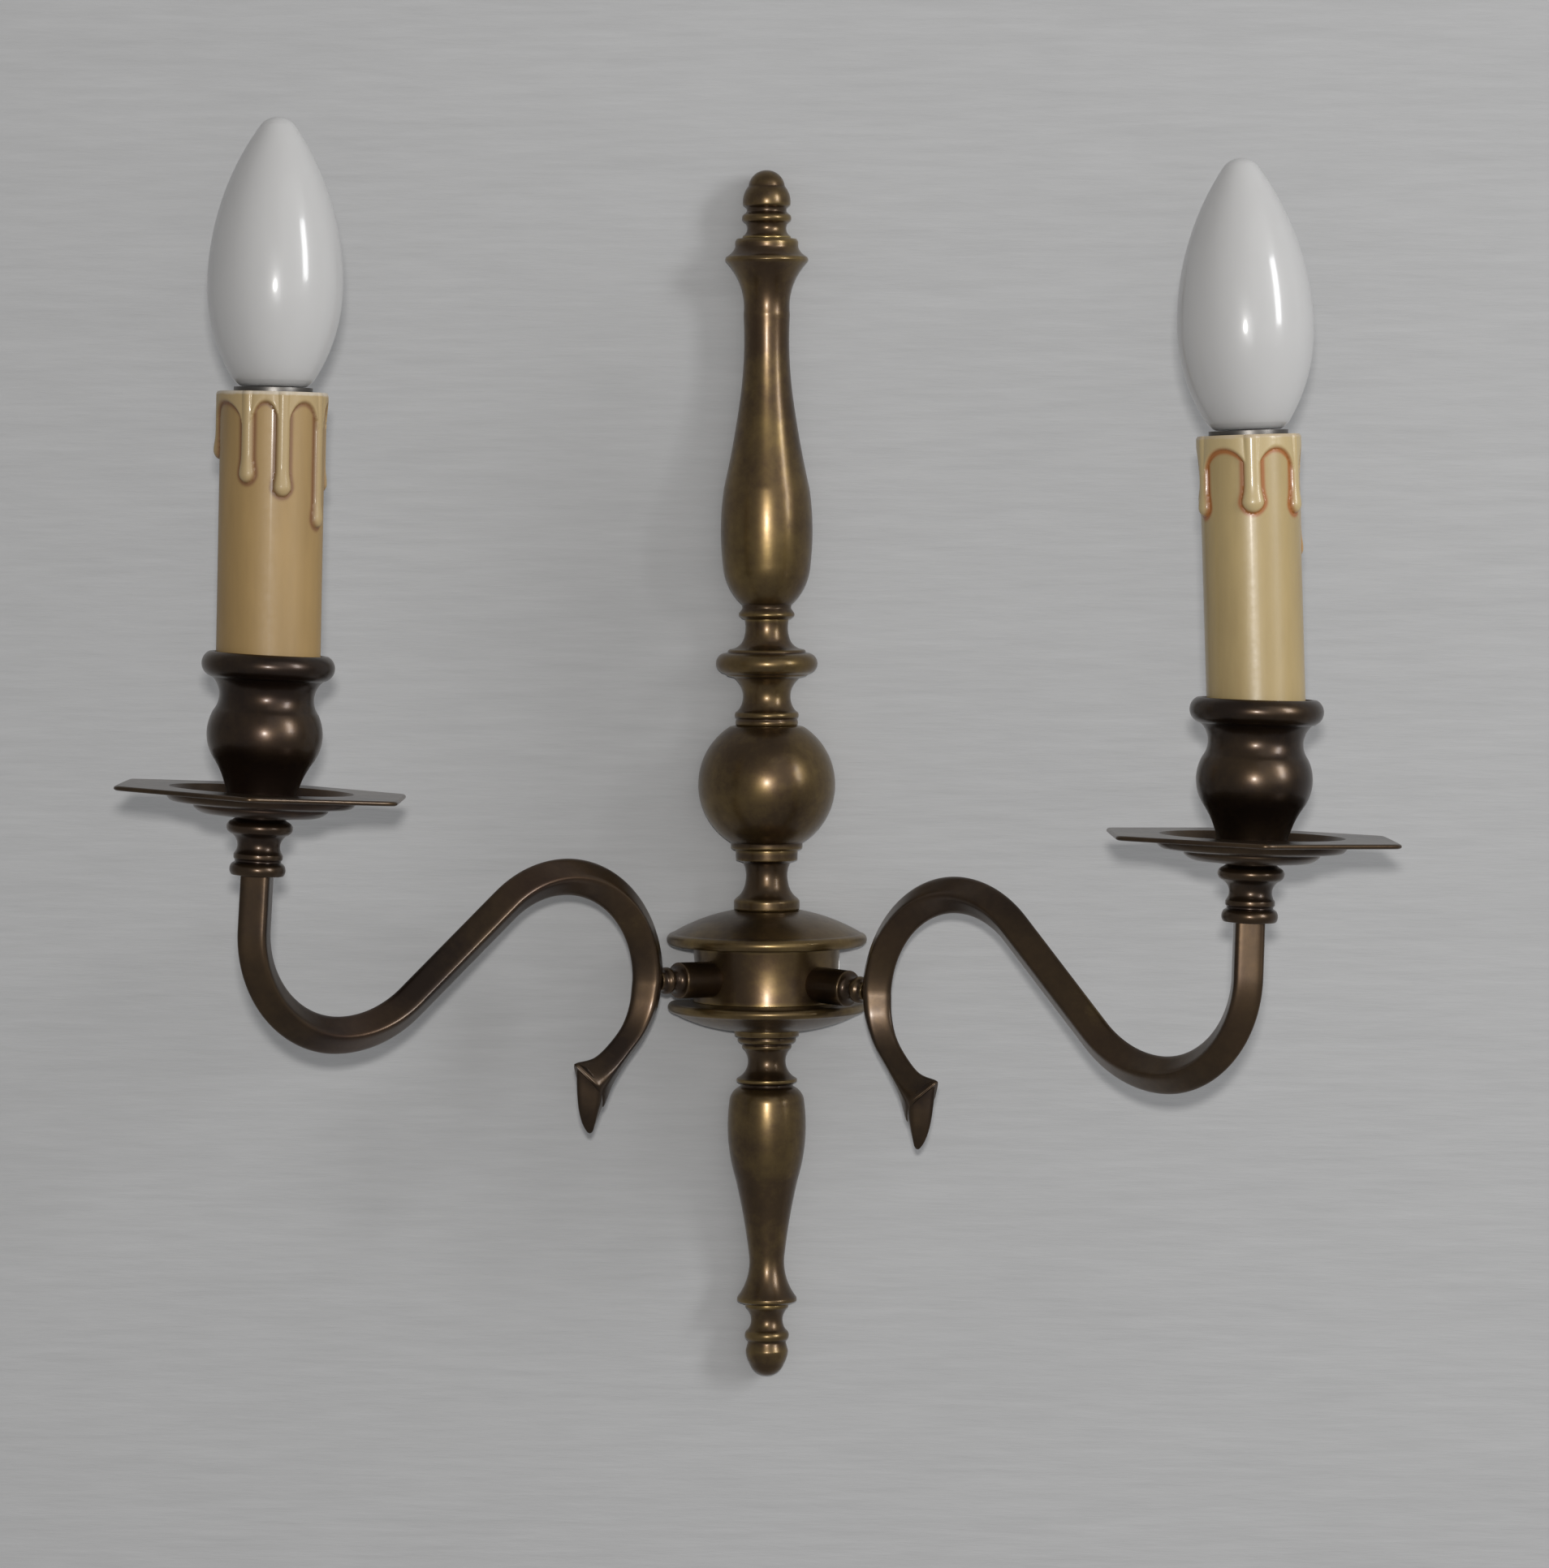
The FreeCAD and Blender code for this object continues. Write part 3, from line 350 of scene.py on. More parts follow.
@dataclass(frozen=True)
class Turning:
    """A turned surface: an outline from axis to axis, spun about Z.

    Attributes:
        marks: what the outline follows.
        edge, gap, turn: how it is softened and spaced, as outline says.
        steps: how many points go round it.
        flat: distance of its flat back from the axis, where it has one.
    """

    marks: Marks
    edge: float = 0.16
    steps: int = 96
    gap: float = 0.9
    turn: float = 0.16
    flat: float | None = None

    def surface(self) -> tuple[Array, Fields]:
        """Spins the softened outline.

        A point of the outline at radius r goes to (r sin a, r cos a) for angles a all the way
        round. With a flat back, the angles stop where r cos a reaches the flat's distance, and
        straight rows join both ends there.

        Returns:
            The grid of points and its field, wear.
        """
        line, wear = outline(self.marks, self.edge, self.gap, self.turn)
        radius, height = line[:, 0, None], line[:, 1, None]
        if self.flat is None:
            angle = np.linspace(0, 2 * np.pi, self.steps, endpoint=False)[None]
            x, y = radius * np.sin(angle), radius * np.cos(angle)
        else:
            open_half = np.arccos(np.clip(self.flat / np.maximum(radius, 1e-9), -1, 1))
            share = np.linspace(0, 1, self.steps)[None]
            angle = open_half + (2 * np.pi - 2 * open_half) * share
            back = np.linspace(-1, 1, BACK_POINTS + 2)[None, 1:-1]
            x = np.concatenate([radius * np.sin(angle), radius * np.sin(open_half) * back], 1)
            level = radius * np.cos(open_half) + 0 * back
            y = np.concatenate([radius * np.cos(angle), level], 1)
        grid = np.stack([x, y, height + 0 * x], -1)
        return grid, {"wear": np.repeat(wear[:, None], grid.shape[1], 1)}

    def piece(self, name: str, place: Array) -> bpy.types.Object:
        """Makes the surface an object."""
        grid, fields = self.surface()
        return make_piece(name, grid, place, fields)


# ---------------------------------------------------------------- finishes

class Wiring:
    """Builds a material's node tree a node at a time."""

    # A Mix node's colour sockets share their names with its others, so they go by number.
    MIX_FACTOR, MIX_A, MIX_B, MIX_RESULT = 0, 6, 7, 2

    def __init__(self, name: str) -> None:
        """Makes a material with a shader and its output."""
        self.material = bpy.data.materials.new(name)
        self.material.use_nodes = True
        self.tree = self.material.node_tree
        self.shader = self.tree.nodes["Principled BSDF"]
        self.place = self.node("ShaderNodeTexCoord").outputs["Object"]

    def node(self, kind: str, values: dict[str | int, object] | None = None,
             **settings: object) -> bpy.types.Node:
        """Adds a node, and sets its inputs' values and its properties."""
        made = self.tree.nodes.new(kind)
        for key, value in settings.items():
            setattr(made, key, value)
        for key, value in (values or {}).items():
            made.inputs[key].default_value = value
        return made

    def join(self, source: Socket, target: Socket) -> None:
        """Links an output to an input."""
        self.tree.links.new(source, target)

    def noise(self, scale: float, detail: float = 4.0, rough: float = 0.55,
              stretch: tuple[float, float, float] = (1, 1, 1)) -> Socket:
        """Returns a cloudy pattern over the object's own place, features 1/scale metres across."""
        mapping = self.node("ShaderNodeMapping", {"Scale": stretch})
        self.join(self.place, mapping.inputs["Vector"])
        noise = self.node("ShaderNodeTexNoise",
                          {"Scale": scale, "Detail": detail, "Roughness": rough})
        self.join(mapping.outputs["Vector"], noise.inputs["Vector"])
        return noise.outputs["Fac"]

    def field(self, name: str) -> Socket:
        """Returns a number kept on the mesh."""
        return self.node("ShaderNodeAttribute", attribute_name=name).outputs["Fac"]

    def sum(self, *terms: tuple[Socket, float], base: float = 0.0) -> Socket:
        """Returns base plus each socket times its weight, kept between 0 and 1."""
        total: float | Socket = base
        for socket, weight in terms:
            step = self.node("ShaderNodeMath", {1: weight}, operation="MULTIPLY_ADD")
            self.join(socket, step.inputs[0])
            if isinstance(total, float):
                step.inputs[2].default_value = total
            else:
                self.join(total, step.inputs[2])
            total = step.outputs[0]
        step.use_clamp = True
        return total

    def ramp(self, factor: Socket, stops: Sequence[tuple[float, Colour]]) -> Socket:
        """Returns a colour that follows factor through the stops."""
        ramp = self.node("ShaderNodeValToRGB")
        elements = ramp.color_ramp.elements
        while len(elements) < len(stops):
            elements.new(0.5)
        for element, (at, colour) in zip(elements, stops):
            element.position = at
            element.color = (*colour, 1.0)
        self.join(factor, ramp.inputs["Fac"])
        return ramp.outputs["Color"]

    def mix(self, factor: Socket, a: Socket | Colour, b: Socket | Colour) -> Socket:
        """Returns colour a where factor is 0 and b where it is 1."""
        mixer = self.node("ShaderNodeMix", data_type="RGBA")
        self.join(factor, mixer.inputs[self.MIX_FACTOR])
        for key, value in ((self.MIX_A, a), (self.MIX_B, b)):
            if isinstance(value, tuple):
                mixer.inputs[key].default_value = (*value, 1.0)
            else:
                self.join(value, mixer.inputs[key])
        return mixer.outputs[self.MIX_RESULT]

    def colour(self, value: Socket) -> None:
        """Leads a colour to the shader."""
        self.join(value, self.shader.inputs["Base Color"])

    def roughness(self, factor: Socket, low: float, high: float) -> None:
        """Makes the roughness go from low to high as factor goes from 0 to 1."""
        span = self.node("ShaderNodeMapRange", {"To Min": low, "To Max": high})
        self.join(factor, span.inputs["Value"])
        self.join(span.outputs["Result"], self.shader.inputs["Roughness"])

    def bump(self, height: Socket, strength: float, distance: float) -> None:
        """Raises the surface's shading by height, distance in metres."""
        bump = self.node("ShaderNodeBump", {"Strength": strength, "Distance": distance})
        self.join(height, bump.inputs["Height"])
        self.join(bump.outputs["Normal"], self.shader.inputs["Normal"])

    def set(self, values: dict[str, float | tuple[float, ...]]) -> None:
        """Sets the shader's own sockets."""
        for key, value in values.items():
            self.shader.inputs[key].default_value = value


def shaded(colour: Colour, share: float) -> Colour:
    """Returns a share of a colour."""
    return tuple(v * share for v in colour)


@dataclass(frozen=True)
class AgedBrass:
    """Bronzed brass: dark patina, olive-gold where it is rubbed, reddish where it is handled."""

    PATINA = ((0.0, (0.029, 0.018, 0.012)), (0.3, (0.082, 0.051, 0.025)),
              (0.55, (0.20, 0.136, 0.050)), (0.8, (0.37, 0.275, 0.105)),
              (1.0, (0.52, 0.42, 0.200)))
    BLUSH = (0.105, 0.055, 0.040)
    MEAN_CLOUD = 0.485      # what cloud and grain add up to on average, weighted as below

    name: str
    lightness: float
    wear: float
    redness: float = 0.35

    def make(self) -> bpy.types.Material:
        """Returns the material; its patina follows cloudy patterns and the mesh's wear."""
        w = Wiring(self.name)
        cloud = w.noise(42.0, 3.0, 0.5)
        grain = w.noise(420.0, 4.0, 0.6)
        rubbed = w.sum((cloud, 0.75), (grain, 0.22), (w.field("wear"), self.wear),
                       base=self.lightness - self.MEAN_CLOUD)
        blush = w.sum((w.noise(26.0, 2.0, 0.5), 2.6 * self.redness), base=-1.3 * self.redness)
        w.colour(w.mix(blush, w.ramp(rubbed, self.PATINA), self.BLUSH))
        w.roughness(w.sum((grain, 0.6), (cloud, 0.4)), 0.40, 0.26)
        w.bump(w.noise(900.0, 3.0, 0.6), 0.05, 0.0002)
        w.set({"Metallic": 0.9, "Coat Weight": 0.28, "Coat Roughness": 0.2})
        return w.material


@dataclass(frozen=True)
class CandleCard:
    """Antiqued candle sleeve: cream drips, tan body, rust brown glaze where the drips meet it.

    Attributes:
        body, drip, worn, glaze: colours of the body, the drips, the top rim and the seams.
        depth: how strongly the glaze shows.
    """

    name: str
    body: Colour
    drip: Colour
    worn: Colour
    glaze: Colour
    depth: float
    roughness: float
    coat: float

    def make(self) -> bpy.types.Material:
        """Returns the material; it reads the mesh's fields drip, seam and rim."""
        w = Wiring(self.name)
        cloud = w.noise(55.0, 4.0, 0.6, (1, 1, 0.35))
        speck = w.noise(600.0, 3.0, 0.6)
        streak = w.noise(220.0, 3.0, 0.6, (1, 1, 0.12))
        tone = w.mix(w.sum((cloud, 1.1), (streak, 0.7), base=-0.45), self.body,
                     shaded(self.body, 0.66))
        tone = w.mix(w.sum((w.field("drip"), 1.0)), tone, self.drip)
        tone = w.mix(w.sum((w.field("seam"), self.depth), (cloud, 0.5), base=-0.3), tone,
                     self.glaze)
        tone = w.mix(w.sum((w.field("rim"), 1.1), (w.noise(300.0, 3.0, 0.6), 1.3), base=-0.95),
                     tone, self.worn)
        w.colour(tone)
        w.roughness(speck, self.roughness - 0.06, self.roughness + 0.08)
        w.bump(w.sum((speck, 0.5), (streak, 0.5)), 0.12, 0.0003)
        w.set({"Coat Weight": self.coat, "Coat Roughness": 0.1})
        return w.material


@dataclass(frozen=True)
class OpalGlass:
    """Glossy opal glass of an unlit bulb."""

    name: str = "opal_glass"
    colour: Colour = (0.465, 0.46, 0.455)
    depth: float = 0.022    # how far light spreads inside, in metres

    def make(self) -> bpy.types.Material:
        """Returns the material: milky body under a clear, smooth skin."""
        w = Wiring(self.name)
        w.colour(w.mix(w.noise(30.0, 2.0, 0.5), self.colour, shaded(self.colour, 0.96)))
        w.roughness(w.noise(90.0, 2.0), 0.30, 0.36)
        w.set({"Specular IOR Level": 0.2, "Coat Weight": 0.6, "Coat Roughness": 0.12,
               "Subsurface Weight": 0.6, "Subsurface Radius": (self.depth,) * 3,
               "Subsurface Scale": 1.0})
        return w.material


@dataclass(frozen=True)
class PlainStock:
    """Metal or moulded stock of the inner pieces, with a little cloud and grain."""

    name: str
    colour: Colour
    metal: float
    roughness: float

    def make(self) -> bpy.types.Material:
        """Returns the material."""
        w = Wiring(self.name)
        cloud = w.noise(120.0, 4.0, 0.6)
        w.colour(w.mix(cloud, self.colour, shaded(self.colour, 0.72)))
        w.roughness(cloud, self.roughness - 0.08, self.roughness + 0.1)
        w.bump(w.noise(1500.0, 2.0), 0.05, 0.0002)
        w.set({"Metallic": self.metal})
        return w.material


@dataclass(frozen=True)
class WallPaint:
    """Pale grey wall with faint lengthwise texture, clear when seen from behind."""

    name: str = "wall_paint"
    colour: Colour = (0.40, 0.40, 0.402)
    stretch: tuple[float, float, float] = (0.09, 1, 1)

    def make(self) -> bpy.types.Material:
        """Returns the material."""
        w = Wiring(self.name)
        front = w.node("ShaderNodeMath", {0: 1.0}, operation="SUBTRACT")
        w.join(w.node("ShaderNodeNewGeometry").outputs["Backfacing"], front.inputs[1])
        w.join(front.outputs[0], w.shader.inputs["Alpha"])
        brush = w.noise(400.0, 4.0, 0.65, self.stretch)
        broad = w.noise(90.0, 3.0, 0.6, self.stretch)
        w.colour(w.mix(w.sum((brush, 1.0), (broad, 0.4), base=-0.2), shaded(self.colour, 0.90),
                       shaded(self.colour, 1.10)))
        w.bump(brush, 0.5, 0.0005)
        w.set({"Roughness": 0.9})
        return w.material


class Finishes:
    """Every material of the part, made once."""

    def __init__(self) -> None:
        """Makes the materials."""
        self.column = AgedBrass("column_brass", lightness=0.36, wear=0.16).make()
        self.arm = AgedBrass("arm_brass", lightness=0.13, wear=0.14).make()
        self.rubbed = AgedBrass("rubbed_arm_brass", lightness=0.18, wear=0.14).make()
        # The collars' and cups' own darker bronze; on the tail leaves it is painted shade.
        self.dark = AgedBrass("dark_brass", lightness=0.08, wear=0.14, redness=0.2).make()
        self.pan = AgedBrass("pan_brass", lightness=0.13, wear=0.06, redness=0.25).make()
        self.card = {
            Side.LEFT: CandleCard(
                "left_candle_card", body=(0.35, 0.225, 0.085), drip=(0.36, 0.26, 0.125),
                worn=(0.52, 0.46, 0.38), glaze=(0.16, 0.070, 0.025), depth=1.0,
                roughness=0.5, coat=0.06).make(),
            Side.RIGHT: CandleCard(
                "right_candle_card", body=(0.42, 0.31, 0.14), drip=(0.43, 0.33, 0.165),
                worn=(0.45, 0.36, 0.25), glaze=(0.30, 0.11, 0.025), depth=1.35,
                roughness=0.36, coat=0.26).make()}
        self.opal = OpalGlass().make()
        self.steel = PlainStock("plated_steel", (0.5, 0.5, 0.5), 1.0, 0.35).make()
        self.cap = PlainStock("bulb_cap_metal", (0.16, 0.15, 0.14), 1.0, 0.4).make()
        self.black = PlainStock("black_insulator", (0.03, 0.03, 0.03), 0.0, 0.4).make()
        self.holder = PlainStock("holder_moulding", (0.7, 0.67, 0.6), 0.0, 0.5).make()
        self.contact = PlainStock("contact_brass", (0.6, 0.43, 0.2), 1.0, 0.3).make()
        self.cable = PlainStock("cable_sheath", (0.62, 0.58, 0.5), 0.0, 0.5).make()


def dress(obj: bpy.types.Object, material: bpy.types.Material) -> bpy.types.Object:
    """Gives an object its one material."""
    obj.data.materials.clear()
    obj.data.materials.append(material)
    return obj


def stand_for(obj: bpy.types.Object, body: str, slot: str, *nodes: str) -> None:
    """Makes a piece ride on a body, and hides the nodes that it stands for."""
    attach(obj, body)
    if nodes:
        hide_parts(*nodes)
    LOG.info("%s: %d points on %s", obj.name, len(obj.data.vertices), body)


# ---------------------------------------------------------------- column

# The column's pieces: the height of each one's foot, and its outline.
COLUMN: dict[str, tuple[float, Marks]] = {
    "bottom_finial": (-111.0, (
        (0.0, 0.0), (4.7, 3.4, 0.94), (5.9, 7.2, 0.25), (5.3, 9.4), (5.3, 10.0), (5.3, 13.0, 0.85),
        (6.0, 19.4, -1.25), (6.0, 20.4), (0.0, 20.4))),
    "lower_baluster": (-90.6, (
        (0.0, 0.0), (6.6, 0.0), (8.3, 0.7), (8.3, 1.6), (5.0, 14.2, -1.35), (8.6, 34.8, -0.3),
        (10.4, 56.3, 1.15), (7.4, 60.5, 0.75), (7.1, 61.2), (8.4, 61.9), (8.4, 62.7),
        (6.4, 71.0, -2.1), (6.6, 72.5, 0.4), (7.4, 72.7), (7.9, 74.4, 0.45), (8.9, 74.7),
        (9.1, 76.3), (0.0, 76.3))),
    "hub_bottom_plate": (-14.3, (
        (0.0, 0.0), (9.0, 0.0), (26.2, 5.0, 1.0), (26.4, 7.7, 1.2), (22.0, 8.0), (0.0, 8.0))),
    "hub_drum": (-6.3, ((0.0, 0.0), (20.5, 0.0), (20.5, 15.6, -0.6), (0.0, 15.6))),
    "hub_top_plate": (9.3, (
        (0.0, 0.0), (26.8, 0.0), (26.2, 3.3, 1.25), (9.3, 9.6, 0.8), (0.0, 9.6))),
    "upper_neck": (18.9, (
        (0.0, 0.0), (8.7, 0.0), (9.1, 0.5), (9.1, 2.7), (8.6, 3.3), (5.9, 8.0, -0.6),
        (6.5, 13.3, -0.45), (8.5, 14.0), (8.6, 16.9), (0.0, 16.9))),
    "ball_knop": (35.8, (
        (0.0, 0.0), (9.4, 0.0), (9.9, 0.5), (9.9, 1.9), (10.2, 34.0, 8.9), (9.4, 34.2),
        (0.0, 34.2))),
    "ring_knop": (70.0, (
        (0.0, 0.0), (8.3, 0.0), (8.3, 2.0, 0.35), (8.6, 3.8, 0.4), (8.0, 4.2), (8.3, 12.6, -1.6),
        (9.0, 13.4), (11.0, 13.9), (11.5, 14.5), (11.9, 20.1, 2.35), (10.8, 20.3),
        (10.2, 21.2, 0.2), (6.3, 24.3, -0.8), (6.1, 29.6, -0.35), (0.0, 29.6))),
    "upper_baluster": (99.6, (
        (0.0, 0.0), (6.6, 0.0), (7.7, 0.9), (7.7, 1.5), (6.7, 3.0), (6.8, 3.9), (12.1, 15.0, 1.2),
        (11.8, 36.1, 0.7), (7.4, 60.1, -0.25), (6.4, 84.0, -0.6), (11.2, 98.3, -1.7),
        (11.5, 98.9), (11.2, 99.7), (8.7, 102.4, -0.4), (8.7, 103.9), (8.2, 104.7), (0.0, 104.7))),
    "top_finial": (204.3, (
        (0.0, 0.0), (6.7, 0.0), (6.7, 0.6), (5.9, 4.4, -0.9), (5.9, 6.9, 0.9), (5.4, 7.5),
        (5.5, 8.4), (6.5, 9.2), (5.0, 14.4, 0.6), (0.0, 18.8, 1.3))),
}


@dataclass(frozen=True)
class Column:
    """The turned, flat-backed column on the wall, from finial to finial."""

    stance: Stance
    flat: float = 3.0

    def build(self, finishes: Finishes) -> None:
        """Turns each piece of the column."""
        for name, (foot, marks) in COLUMN.items():
            turned = Turning(marks, flat=self.flat, steps=128 if name == "ball_knop" else 96)
            piece = turned.piece(name + "_turned", self.stance.column() @ shift(0, 0, foot))
            stand_for(dress(piece, finishes.column), "fixture", "bronzed_brass", name)


# ---------------------------------------------------------------- arms

# The tail as it bends on round the hook: angle round the hook, drawn in from its circle, half size
# in the arm's plane, half size across it.
TAIL_BEND = ((180.0, 0.0, 4.95, 4.95), (194.0, 0.25, 4.55, 4.65), (208.0, 0.65, 4.0, 4.3),
             (222.0, 1.2, 3.8, 4.1))
# Stations of the flare that follows and of the leaf: out, up, heading in degrees, half sizes.
TAIL_FLARE = ((54.9, -23.9, -42.0, 4.8, 4.2), (59.4, -27.6, -40.0, 7.7, 4.6),
              (60.3, -28.2, -40.0, 7.5, 4.0))
LEAF = ((62.9, -22.9, -50.0, 1.7, 2.6), (60.9, -25.2, -66.0, 3.6, 3.6),
        (59.3, -28.4, -80.0, 4.7, 3.9), (59.0, -31.8, -88.0, 4.5, 3.6),
        (59.2, -35.0, -92.0, 3.6, 3.0), (59.2, -38.0, -98.0, 2.4, 2.2),
        (58.9, -40.2, -106.0, 1.2, 1.2), (58.8, -41.0, -110.0, 0.4, 0.4))


@dataclass(frozen=True)
class ScrollArm:
    """One S-scroll arm: square bar on its corner, curled tail with its flare and leaf, and peg."""

    ROW_GAP = 0.9                   # longest distance between rows on an arc
    UPRIGHT_ROWS = 20               # rows on the straight runs
    SLOPE_ROWS = 24
    TAIL_ROWS = 60
    LEAF_ROWS = 40
    BAR_POINTS = 64                 # points round a section
    LEAF_POINTS = 48
    CAP_SHARES = (0.0, 0.5, 0.94)   # rings that close an end, as shares of its section
    CREASE = 60.0                   # faces that meet at more than this keep a sharp edge

    side: Side
    stance: Stance
    half: float = 4.95
    edge: float = 0.85
    hook_centre: float = 70.4
    hook_radius: float = 28.9
    crest_radius: float = 30.8
    sag_radius: float = 34.6
    top: float = 30.2

    def centre_line(self) -> Array:
        """Lays out the bar's centre line in the arm's plane.

        Down the upright, round the loop's circle, round the sag, up the straight slope that is
        the crossing tangent of the sag and crest circles, and over the crest and the hook.

        Returns:
            Rows of (out, up, heading), from the top to the peg.
        """
        loop, loop_radius = np.array(self.stance.loop), self.stance.loop_radius
        lean = math.radians(self.stance.upright_lean)
        crest = np.array([self.hook_centre, self.hook_radius - self.crest_radius])
        sag = np.array([loop[0], loop[1] - loop_radius + self.sag_radius])
        between = sag - crest
        slope = (math.atan2(between[1], between[0])
                 - math.asin((self.crest_radius + self.sag_radius) / np.hypot(*between)))
        quarter = math.pi / 2
        rows: list[Array] = []

        def straight(first: Array, last: Array, heading: float, count: int) -> None:
            """Adds a straight run of count rows."""
            share = np.linspace(0, 1, count)[:, None]
            run = first + (last - first) * share
            rows.append(np.concatenate([run, np.full((count, 1), heading)], 1))

        def arc(centre: Array, radius: float, first: float, last: float, inward: float) -> None:
            """Adds an arc from one angle to another, the heading square to the radius."""
            count = max(8, int(abs(last - first) * radius / self.ROW_GAP))
            angle = np.linspace(first, last, count)
            rows.append(np.stack([centre[0] + radius * np.cos(angle),
                                  centre[1] + radius * np.sin(angle), angle + inward], 1))

        straight(np.array(self.stance.upright_spot(self.top)),
                 loop + loop_radius * np.array([math.cos(lean), math.sin(lean)]),
                 lean - quarter, self.UPRIGHT_ROWS)
        arc(loop, loop_radius, lean, -quarter, -quarter)
        arc(sag, self.sag_radius, -quarter, -quarter + slope, -quarter)
        across = np.array([-math.sin(slope), math.cos(slope)])
        straight(sag - self.sag_radius * across, crest + self.crest_radius * across,
                 -math.pi + slope, self.SLOPE_ROWS)
        arc(crest, self.crest_radius, quarter + slope, quarter, -3 * quarter)
        hook = np.array([self.hook_centre, 0.0])
        arc(hook, self.hook_radius, quarter, 2 * quarter, -3 * quarter)
        return np.concatenate(rows)

    def section(self, count: int) -> Array:
        """Returns the softened square on its corner, of half size 1, as count points."""
        corners = np.array([(1, 0), (0, 1), (-1, 0), (0, -1)], float) * self.half
        ring = soften(corners, self.edge, closed=True)
        ring = np.roll(ring, -np.argmax(ring[:, 0]), axis=0)
        pick = np.linspace(0, len(ring), count, endpoint=False).astype(int)
        return ring[pick] / np.abs(ring).max()

    def sweep(self, rows: Array, count: int) -> Array:
        """Carries the section along rows of (out, up, heading, half in, half across).

        A section point (u, v) goes to the row's place, plus u times half in along the in-plane
        normal of the heading, plus v times half across along the arm frame's Y.

        Returns:
            The closed grid, its two end faces drawn together to points.
        """
        ring = self.section(count)
        place, heading = rows[:, :2], rows[:, 2]
        normal = np.stack([-np.sin(heading), np.cos(heading)], 1)
        inward = rows[:, 3, None] * ring[None, :, 0]
        x = place[:, 0, None] + normal[:, 0, None] * inward
        z = place[:, 1, None] + normal[:, 1, None] * inward
        y = rows[:, 4, None] * ring[None, :, 1]
        grid = np.stack([x, y, z], -1)
        ends = []
        for end in (0, -1):
            middle = np.array([place[end, 0], 0.0, place[end, 1]])
            inner = [middle + (grid[end] - middle) * share for share in self.CAP_SHARES]
            ends.append(np.stack(inner if end == 0 else inner[::-1]))
        return np.concatenate([ends[0], grid, ends[1]])

    def tail(self) -> Array:
        """Returns the stations of the tail, out to the end of its flare."""
        rows = []
        for turn, drawn_in, half_in, half_across in TAIL_BEND:
            angle, reach = math.radians(turn), self.hook_radius - drawn_in
            rows.append((self.hook_centre + reach * math.cos(angle), reach * math.sin(angle),
                         turn - 270.0, half_in, half_across))
        return np.array(rows + list(TAIL_FLARE))

    def bar(self) -> Array:
        """Returns the bar's grid, from its top to the flared end of its tail."""
        line = self.centre_line()
        head = np.concatenate([line, np.full((len(line), 2), self.half)], 1)
        head[:, 2] = np.unwrap(head[:, 2])
        tail = smooth_through(self.tail(), self.TAIL_ROWS)
        tail[:, 2] = np.radians(tail[:, 2])
        tail[:, 2] += 2 * math.pi * round((head[-1, 2] - tail[0, 2]) / (2 * math.pi))
        return self.sweep(np.concatenate([head, tail[1:]]), self.BAR_POINTS)

    def leaf(self) -> Array:
        """Returns the pointed leaf's grid."""
        rows = smooth_through(np.array(LEAF), self.LEAF_ROWS)
        rows[:, 2] = np.radians(rows[:, 2])
        return self.sweep(rows, self.LEAF_POINTS)

    def peg(self) -> Turning:
        """Returns the turned peg, its axis along the arm."""
        return Turning(((0.0, 19.0), (4.95, 19.0), (4.95, 30.6), (4.6, 31.2, 0.15),
                        (2.9, 33.2, -0.5), (2.8, 33.8), (3.2, 36.2, 0.75), (2.8, 36.6),
                        (2.8, 38.0), (0.0, 38.0)), steps=72)

    def build(self, finishes: Finishes) -> None:
        """Makes the bar, its leaf and its peg."""
        name = self.side.value
        place = self.stance.arm(self.side)
        finish = finishes.arm if self.side is Side.LEFT else finishes.rubbed
        bar = make_piece(name + "_scroll_bar", self.bar(), place, crease=self.CREASE)
        stand_for(dress(bar, finish), "fixture", "bronzed_brass", name + "_arm_bar")
        leaf = make_piece(name + "_tail_leaf", self.leaf(), place, crease=self.CREASE)
        # The leaf gets the darker brass as painted shade: the darker colour stands in for the
        # shade on the tail's end face.
        stand_for(dress(leaf, finishes.dark), "fixture", "bronzed_brass")
        peg = self.peg().piece(name + "_peg_turned", place @ turn_y(90.0))
        stand_for(dress(peg, finishes.rubbed), "fixture", "bronzed_brass", name + "_arm_peg")


# ---------------------------------------------------------------- candle stands

